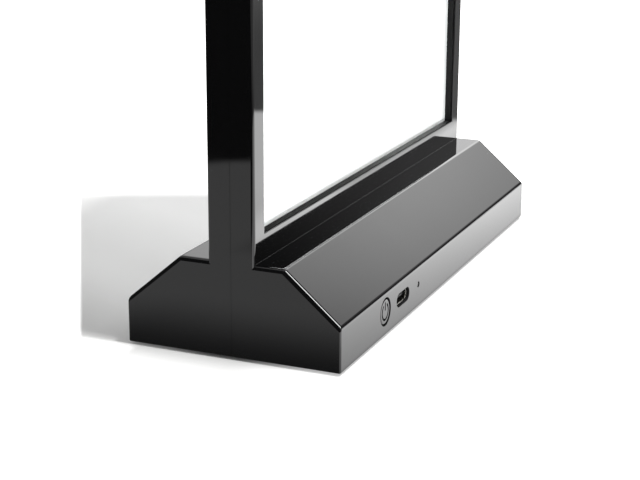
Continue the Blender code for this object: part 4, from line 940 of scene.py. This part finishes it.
def make_button():
    """The power button: its cap with an engraved symbol, the wings behind it and its stem."""
    values = shape_values()
    face = BUTTON_LOW.y
    length_y = BUTTON_HIGH.y - face
    edge = values.button_edge
    rounded = arc((BUTTON_RADIUS - edge, edge), edge, -90, 0, 5)
    profile = [
        (0, 0), *rounded, (BUTTON_RADIUS, CAP_LENGTH), (STEM_RADIUS, CAP_LENGTH),
        (STEM_RADIUS, length_y), (0, length_y),
    ]
    cap = spun("button_cap", profile, Vector((BUTTON_X, face, CONTROL_HEIGHT)), 64)
    wing = rectangle(
        BUTTON_LOW.x, BUTTON_HIGH.x,
        CONTROL_HEIGHT - WING_HALF_HEIGHT, CONTROL_HEIGHT + WING_HALF_HEIGHT,
    )
    wing_start = WING_GAP - WALL_INNER
    wings = block("wings", [("y", wing, wing_start, wing_start + WING_THICKNESS)])
    symbol = block("symbol", symbol_prisms(face - OVERRUN / 2, face + values.symbol_depth))
    with open_mesh(applied(cap, [cut(cap, wings, "UNION"), cut(cap, symbol)])) as shape:
        weld(shape)
    finish_piece(cap, "button", "power_button")


class STAND_OT_housing(bpy.types.Operator):
    """Make the two moulded halves of the stand"""

    bl_idname = "stand.housing"
    bl_label = "Moulded halves"

    def execute(self, context):
        for side in (FRONT, REAR):
            make_half(side)
        return {"FINISHED"}


class STAND_OT_light_panel(bpy.types.Operator):
    """Refine the windows, sheets, diffusers and light guide, and light them"""

    bl_idname = "stand.light_panel"
    bl_label = "Light panel"

    def execute(self, context):
        for side_name in SIDE_NAMES.values():
            sheet = side_name + "_sheet"
            refine(side_name + "_window", side_name + "_pane", "window", 0.00008)
            refine(sheet, side_name + "_paper", "sheet", 0.00002, 1, sheet)
            refine(side_name + "_diffuser", side_name + "_film", "diffuser", 0.00004, 1)
        refine("light_guide", "guide_plate", "light_guide", 0.0001)
        refine("light_carrier", "carrier_channel", "white_moulding", 0.0001)
        refine("lamp_strip", "lamp_row", "lamp_strip", 0.00005)
        return {"FINISHED"}


class STAND_OT_controls(bpy.types.Operator):
    """Make the power button, the charging socket and the indicator"""

    bl_idname = "stand.controls"
    bl_label = "Controls"

    def execute(self, context):
        make_button()
        refine("port_shell", "socket_shell", "socket_metal", 0.00006)
        refine("port_tongue", "socket_tongue", "black_component", 0.00008)
        refine("light_pipe", "indicator_pipe", "light_pipe", 0.00012, 3)
        refine("indicator_lamp", "indicator_lens", "indicator_lamp", 0.00005)
        refine("switch_body", "switch_case", "black_component", 0.0001)
        refine("switch_plunger", "switch_pin", "white_moulding", 0.00004, 2, "button")
        return {"FINISHED"}


class STAND_OT_underside(bpy.types.Operator):
    """Refine the bottom cover, its screws and the feet"""

    bl_idname = "stand.underside"
    bl_label = "Cover, screws and feet"

    def execute(self, context):
        refine("bottom_cover", "base_cover", "cover", 0.00015)
        for side_name in SIDE_NAMES.values():
            for end in ("left", "right"):
                foot = f"foot_{side_name}_{end}"
                refine(foot, f"rubber_{foot}", "feet", 0.0002)
                screw = f"cover_screw_{side_name}_{end}"
                refine(screw, f"steel_{screw}", "screws", 0.00005)
        for number in range(1, 5):
            refine(f"board_screw_{number}", f"steel_board_screw_{number}", "screws", 0.00004)
        return {"FINISHED"}


class STAND_OT_electronics(bpy.types.Operator):
    """Refine the circuit board, its parts, the cell and the leads"""

    bl_idname = "stand.electronics"
    bl_label = "Electronics"

    def execute(self, context):
        refine("circuit_board", "control_board", "circuit_board", 0.00005, 1)
        refine("charge_chip", "chip", "black_component", 0.00006)
        refine("coil", "wound_coil", "black_component", 0.0001)
        refine("battery_socket", "lead_socket", "white_moulding", 0.0001)
        refine("battery_plug", "lead_plug", "white_moulding", 0.0001)
        refine("battery_cell", "cell", "cell", 0)
        for pole, slot in (("positive", "red_lead"), ("negative", "black_lead")):
            refine(f"battery_tab_{pole}", f"cell_tab_{pole}", "tabs", 0.00005, 1)
            refine(f"battery_lead_{pole}", f"cell_lead_{pole}", slot, 0)
            refine(f"lamp_lead_{pole}", f"strip_lead_{pole}", slot, 0)
        return {"FINISHED"}


# What the table's painted light goes by, apart from x and y: a slanting direction, the middle of the
# painted pool of light that gloss shows, and two lines, seen from above, past which painted glow
# washes the shadow out
SLANT = (1.0, -0.5, 0.0)
POOL_MIDDLE = (-0.041, -0.037, 0.0)
SHADOW_LINES = {
    "left_line": (Vector((-0.0738, 0.0453, 0)), Vector((0.0385, 0.1140, 0))),
    "far_line": (Vector((0.0484, 0.1184, 0)), Vector((0.0648, 0.0817, 0))),
}

# How the table's painted light and shade change with place: (what it goes by, start, end, level
# before, level after), in metres. A level of 1 is white. The steps are soft, apart from the
# straight ones.
TABLE_LEVELS = {
    # Painted pool of light on the table, which only gloss shows, with a dim room beyond it
    "on_pool": ("from_middle", 0.252, 0.264, 1.0, 0.0),
    "corner_x": ("x", -0.19, -0.155, 0.0, 1.0),
    "corner_y": ("y", 0.020, 0.045, 0.0, 1.0),
    # Painted shade round the stand's foot, as gloss shows it
    "beside": ("reach", 0.0, 0.045, 0.14, 0.86),
    "close_by": ("y", -0.048, -0.0288, 2.4, 1.4),
    "further_along": ("x", -0.08, 0.08, 0.85, 1.3),
    "open_front": ("y", -0.053, -0.046, 1.0, 0.0),
    "open_side": ("x", 0.065, 0.105, 0.75, -1.2),
    "deep_front": ("y", -0.070, -0.056, 1.0, 0.0),
    "deep_level": ("y", -0.40, -0.10, 0.3, -0.1),
    "in_front": ("y", -0.031, -0.027, 1.0, 0.0),
    "to_right": ("x", -0.05, 0.10, 0.04, 0.33),
    "to_front": ("y", -0.40, -0.20, 0.45, 0.0),
    # Painted glow that the camera sees, which whitens the table round the lamp's shadow
    "behind": ("y", 0.004, 0.030, 0.0, 1.0),
    # Painted shade: less glow right at the base's foot, and less still beside its end
    "open_floor": ("reach", 0.0, 0.004, 0.45, 0.9),
    "end_shade": ("reach", 0.0, 0.010, 0.02, 0.45),
    "rear_half": ("y", -0.024, 0.0, 0.0, 1.0),
    "along_end": ("y", 0.025, 0.029, 1.0, 0.0),
    # Painted light in the shadow: its glow rises along the stand, in place of the rear window's
    # light
    "in_shadow": ("slant", -0.100, -0.055, 0.09, 0.28),
    "window_glow": ("slant", -0.045, 0.0, 0.0, 0.15),
    "past_end": ("x", -0.081, -0.0765, 1.0, 0.0),
    # Painted glow that washes the shadow out past the end and past the two lines
    "past_left": ("left_line", -0.0008, 0.0008, 0.0, 1.0),
    "past_far": ("far_line", -0.009, 0.009, 0.0, 1.0),
}
STRAIGHT_LEVELS = ("close_by", "further_along", "deep_level", "end_shade", "window_glow")

# How those levels are put together: (name, operation, what it takes). A MIX goes by its first.
TABLE_STEPS = (
    ("close", "MULTIPLY", "close_by", "further_along"),
    ("open_part", "MIX", "deep_front", "open_side", "deep_level"),
    ("further_out", "MULTIPLY", "open_front", "open_part"),
    ("front", "ADD", "close", "further_out"),
    ("table", "MIX", "in_front", "beside", "front"),
    ("beyond", "ADD", "to_right", "to_front"),
    ("past_corner", "MAXIMUM", "corner_x", "corner_y"),
    ("painted_pool", "MULTIPLY", "on_pool", "past_corner"),
    ("in_gloss", "MIX", "painted_pool", "beyond", "table"),
    ("shadow", "ADD", "in_shadow", "window_glow"),
    ("by_end", "MULTIPLY", "rear_half", "along_end"),
    ("floor_glow", "MIX", "by_end", "open_floor", "end_shade"),
    ("glow", "MIX", "behind", "floor_glow", "shadow"),
    ("near_glow", "MIX", "past_end", "glow", "floor_glow"),
    ("past", "MAXIMUM", "past_left", "past_far"),
    ("whole_glow", "ADD", "near_glow", "past"),
    ("camera_glow", "MULTIPLY", "whole_glow", "camera"),
)

# Softboxes that gloss shows: heading from, to and softness, height from, to and softness (all in
# degrees), and level
SOFTBOXES = (
    (3, 25, 8, 8, 55, 4, 1.55),
    (25, 55, 8, 8, 55, 4, 1.1),
    (-18, 3, 7, 16.5, 55, 6, 2.1),
    (-26, -10, 3, 9, 16, 3, 0.35),
    (-1, 20, 7, 19, 38, 8, 2.4),
    (-96, -62, 2, 49, 58, 2, 20.0),
    (80, 115, 8, 40, 55, 6, 1.0),
    (-110, -55, 6, 8, 40, 6, 1.2),
    (-360, 360, 6, 60, 180, 5, 1.0),
)

# The lamp high in front: the direction it shines from, the point it shines at, how far off it
# stands and how wide it is
KEY_DIRECTION = Vector((-0.065, -0.36, 0.93)).normalized()
KEY_TARGET = Vector((0, 0, 0.08))
KEY_DISTANCE = 1.5
KEY_WIDTH = 0.10
FLOOR_RADIUS = 6


def table_sources(tree, rays):
    """What the table's painted light goes by: place, distance from the stand, and kind of ray."""
    place = add_node(tree, "ShaderNodeNewGeometry")
    split = add_node(tree, "ShaderNodeSeparateXYZ", links={"Vector": (place, "Position")})
    sources = {"x": (split, "X"), "y": (split, "Y"), "camera": (rays, "Is Camera Ray")}
    vectors = {"position": (place, "Position")}
    steps = [
        ("slant", "DOT_PRODUCT", "position", SLANT),
        ("from_middle", "DISTANCE", "position", POOL_MIDDLE),
        ("sides", "ABSOLUTE", "position", (0, 0, 0)),
        ("past", "SUBTRACT", "sides", (END_FACE, BASE_FACE, 0)),
        ("outside", "MAXIMUM", "past", (0, 0, 0)),
        ("reach", "LENGTH", "outside", (0, 0, 0)),
    ]
    for name, (start, end) in SHADOW_LINES.items():
        ahead = (end - start).normalized()
        steps.append((name + "_offset", "SUBTRACT", "position", start))
        steps.append((name, "DOT_PRODUCT", name + "_offset", (-ahead.y, ahead.x, 0)))
    for name, operation, first, second in steps:
        node = add_node(
            tree, "ShaderNodeVectorMath", {"operation": operation}, values={1: second},
            links={0: vectors[first]},
        )
        vectors[name] = (node, "Vector")
        sources[name] = (node, "Value")
    return sources


def floor_material(studio):
    """Matt white table: it keeps the stand's shadow from the lamp, and a painted glow, set by place,
    whitens it to the camera, lightens the shadow along the stand and washes it out past two lines,
    with painted shade beside the base's end.

    Gloss shows only a painted pool of light on it: bright in front of the stand, with painted shade
    round the stand's foot, and dark beyond the pool.
    """
    made = bpy.data.materials.new("table_matt_white")
    made.use_nodes = True
    tree = made.node_tree
    tree.nodes.clear()
    rays = add_node(tree, "ShaderNodeLightPath")
    levels = table_sources(tree, rays)
    for name, (source, start, end, before, after) in TABLE_LEVELS.items():
        kind = "LINEAR" if name in STRAIGHT_LEVELS else "SMOOTHSTEP"
        node = add_node(
            tree, "ShaderNodeMapRange", {"interpolation_type": kind},
            values={"From Min": start, "From Max": end, "To Min": before, "To Max": after},
            links={"Value": levels[source]},
        )
        levels[name] = (node, "Result")
    for name, operation, *taken in TABLE_STEPS:
        terms = [levels[term] for term in taken]
        if operation == "MIX":
            node = add_node(
                tree, "ShaderNodeMapRange", links=dict(zip(("Value", "To Min", "To Max"), terms))
            )
            levels[name] = (node, "Result")
        else:
            node = add_node(
                tree, "ShaderNodeMath", {"operation": operation}, links=dict(enumerate(terms))
            )
            levels[name] = (node, "Value")
    diffuse = add_node(tree, "ShaderNodeBsdfDiffuse", values={"Color": (*studio.floor, 1)})
    emission = add_node(tree, "ShaderNodeEmission", links={"Strength": levels["camera_glow"]})
    both = add_node(
        tree, "ShaderNodeAddShader", links={0: (diffuse, "BSDF"), 1: (emission, "Emission")}
    )
    in_gloss = add_node(tree, "ShaderNodeEmission", links={"Strength": levels["in_gloss"]})
    shown = add_node(
        tree, "ShaderNodeMixShader",
        links={0: (rays, "Is Glossy Ray"), 1: (both, "Shader"), 2: (in_gloss, "Emission")},
    )
    add_node(tree, "ShaderNodeOutputMaterial", links={"Surface": (shown, "Shader")})
    return made


def make_floor(studio):
    """The round table top that the stand is on."""
    floor = place_object("floor", floor_material(studio))
    with open_mesh(floor.data) as shape:
        bmesh.ops.create_circle(shape, cap_ends=True, segments=96, radius=FLOOR_RADIUS)


def make_key_lamp(studio):
    """A round area lamp, high in front of the stand."""
    data = bpy.data.lights.new("key_lamp", "AREA")
    data.shape = "DISK"
    data.size = KEY_WIDTH
    data.energy = studio.key
    obj = bpy.data.objects.new("key_lamp", data)
    obj.location = KEY_TARGET + KEY_DIRECTION * KEY_DISTANCE
    obj.rotation_euler = KEY_DIRECTION.to_track_quat("Z", "Y").to_euler()
    bpy.context.scene.collection.objects.link(obj)


def make_world(studio):
    """White to the camera and glass, softboxes in a dim room to gloss, and a plain fill."""
    world = bpy.data.worlds.new("studio")
    world.use_nodes = True
    tree = world.node_tree
    tree.nodes.clear()
    rays = add_node(tree, "ShaderNodeLightPath")
    glossy = (rays, "Is Glossy Ray")
    place = add_node(tree, "ShaderNodeTexCoord")
    split = add_node(tree, "ShaderNodeSeparateXYZ", links={"Vector": (place, "Generated")})
    heading = add_node(
        tree, "ShaderNodeMath", {"operation": "ARCTAN2"}, links={0: (split, "Y"), 1: (split, "X")}
    )
    height = add_node(
        tree, "ShaderNodeMath", {"operation": "ARCSINE"}, links={0: (split, "Z")}
    )
    room = add_node(
        tree, "ShaderNodeMath", {"operation": "MULTIPLY"}, values={1: studio.room},
        links={0: glossy},
    )
    for left, right, side_soft, low, high, soft, level in SOFTBOXES:
        lit = glossy
        for source, middle, spread, before, after in (
            (heading, left, side_soft, 0.0, 1.0), (heading, right, side_soft, 1.0, 0.0),
            (height, low, soft, 0.0, level), (height, high, soft, 1.0, 0.0),
        ):
            edge = add_node(
                tree, "ShaderNodeMapRange", {"interpolation_type": "SMOOTHSTEP"},
                values={
                    "From Min": math.radians(middle - spread),
                    "From Max": math.radians(middle + spread), "To Min": before, "To Max": after,
                },
                links={"Value": (source, "Value")},
            )
            product = add_node(
                tree, "ShaderNodeMath", {"operation": "MULTIPLY"},
                links={0: lit, 1: (edge, "Result")},
            )
            lit = (product, "Value")
        room = add_node(
            tree, "ShaderNodeMath", {"operation": "ADD"}, links={0: (room, "Value"), 1: lit}
        )
    white = add_node(
        tree, "ShaderNodeMath", {"operation": "MAXIMUM"},
        links={0: (rays, "Is Camera Ray"), 1: (rays, "Is Transmission Ray")},
    )
    plain = add_node(
        tree, "ShaderNodeMapRange", values={"To Min": studio.fill, "To Max": 1.0},
        links={"Value": (white, "Value")},
    )
    strength = add_node(
        tree, "ShaderNodeMapRange",
        links={"Value": glossy, "To Min": (plain, "Result"), "To Max": (room, "Value")},
    )
    background = add_node(
        tree, "ShaderNodeBackground", values={"Color": (1, 1, 1, 1)},
        links={"Strength": (strength, "Result")},
    )
    add_node(tree, "ShaderNodeOutputWorld", links={"Surface": (background, "Background")})
    bpy.context.scene.world = world


def make_camera(studio):
    """The camera at the photographed view."""
    data = bpy.data.cameras.new("camera")
    data.lens = studio.lens
    data.sensor_width = 36
    data.sensor_fit = "HORIZONTAL"
    data.clip_start = 0.01
    data.clip_end = 50
    level = Vector((math.cos(studio.azimuth), math.sin(studio.azimuth), 0))
    ahead = level * math.cos(studio.tilt) + Vector((0, 0, -math.sin(studio.tilt)))
    right = ahead.cross(Vector((0, 0, 1))).normalized()
    up = right.cross(ahead)
    turned_right = right * math.cos(studio.roll) + up * math.sin(studio.roll)
    turned_up = up * math.cos(studio.roll) - right * math.sin(studio.roll)
    obj = bpy.data.objects.new("camera", data)
    turn = Matrix((turned_right, turned_up, -ahead)).transposed()
    obj.matrix_world = Matrix.Translation(studio.eye) @ turn.to_4x4()
    bpy.context.scene.collection.objects.link(obj)
    bpy.context.scene.camera = obj


class STAND_OT_studio(bpy.types.Operator):
    """Make the floor, the lamp, the world and the camera"""

    bl_idname = "stand.studio"
    bl_label = "Studio"

    def execute(self, context):
        for make in (make_floor, make_key_lamp, make_world, make_camera):
            make(context.scene.stand_studio)
        context.scene.view_settings.view_transform = "Standard"
        return {"FINISHED"}


class STAND_PT_pieces(bpy.types.Panel):
    """Lists the stand's operators and settings"""

    bl_idname = "STAND_PT_pieces"
    bl_label = "Table stand"
    bl_space_type = "VIEW_3D"
    bl_region_type = "UI"
    bl_category = "Stand"

    def draw(self, context):
        for operator in OPERATORS:
            self.layout.operator(operator.bl_idname)
        for settings in (context.scene.stand_shape, context.scene.stand_finish,
                         context.scene.stand_studio):
            box = self.layout.box()
            for name in settings.__annotations__:
                box.prop(settings, name)


SETTINGS = (StandShape, StandFinish, StandStudio)
OPERATORS = (
    STAND_OT_studio,
    STAND_OT_housing,
    STAND_OT_light_panel,
    STAND_OT_controls,
    STAND_OT_underside,
    STAND_OT_electronics,
)


def register():
    for made in (*SETTINGS, *OPERATORS, STAND_PT_pieces):
        bpy.utils.register_class(made)
    bpy.types.Scene.stand_shape = PointerProperty(type=StandShape)
    bpy.types.Scene.stand_finish = PointerProperty(type=StandFinish)
    bpy.types.Scene.stand_studio = PointerProperty(type=StandStudio)


def unregister():
    del bpy.types.Scene.stand_studio
    del bpy.types.Scene.stand_finish
    del bpy.types.Scene.stand_shape
    for made in reversed((*SETTINGS, *OPERATORS, STAND_PT_pieces)):
        bpy.utils.unregister_class(made)


def main():
    """Makes every piece."""
    register()
    for operator in OPERATORS:
        group, name = operator.bl_idname.split(".")
        getattr(getattr(bpy.ops, group), name)()


if __name__ == "__main__":
    main()
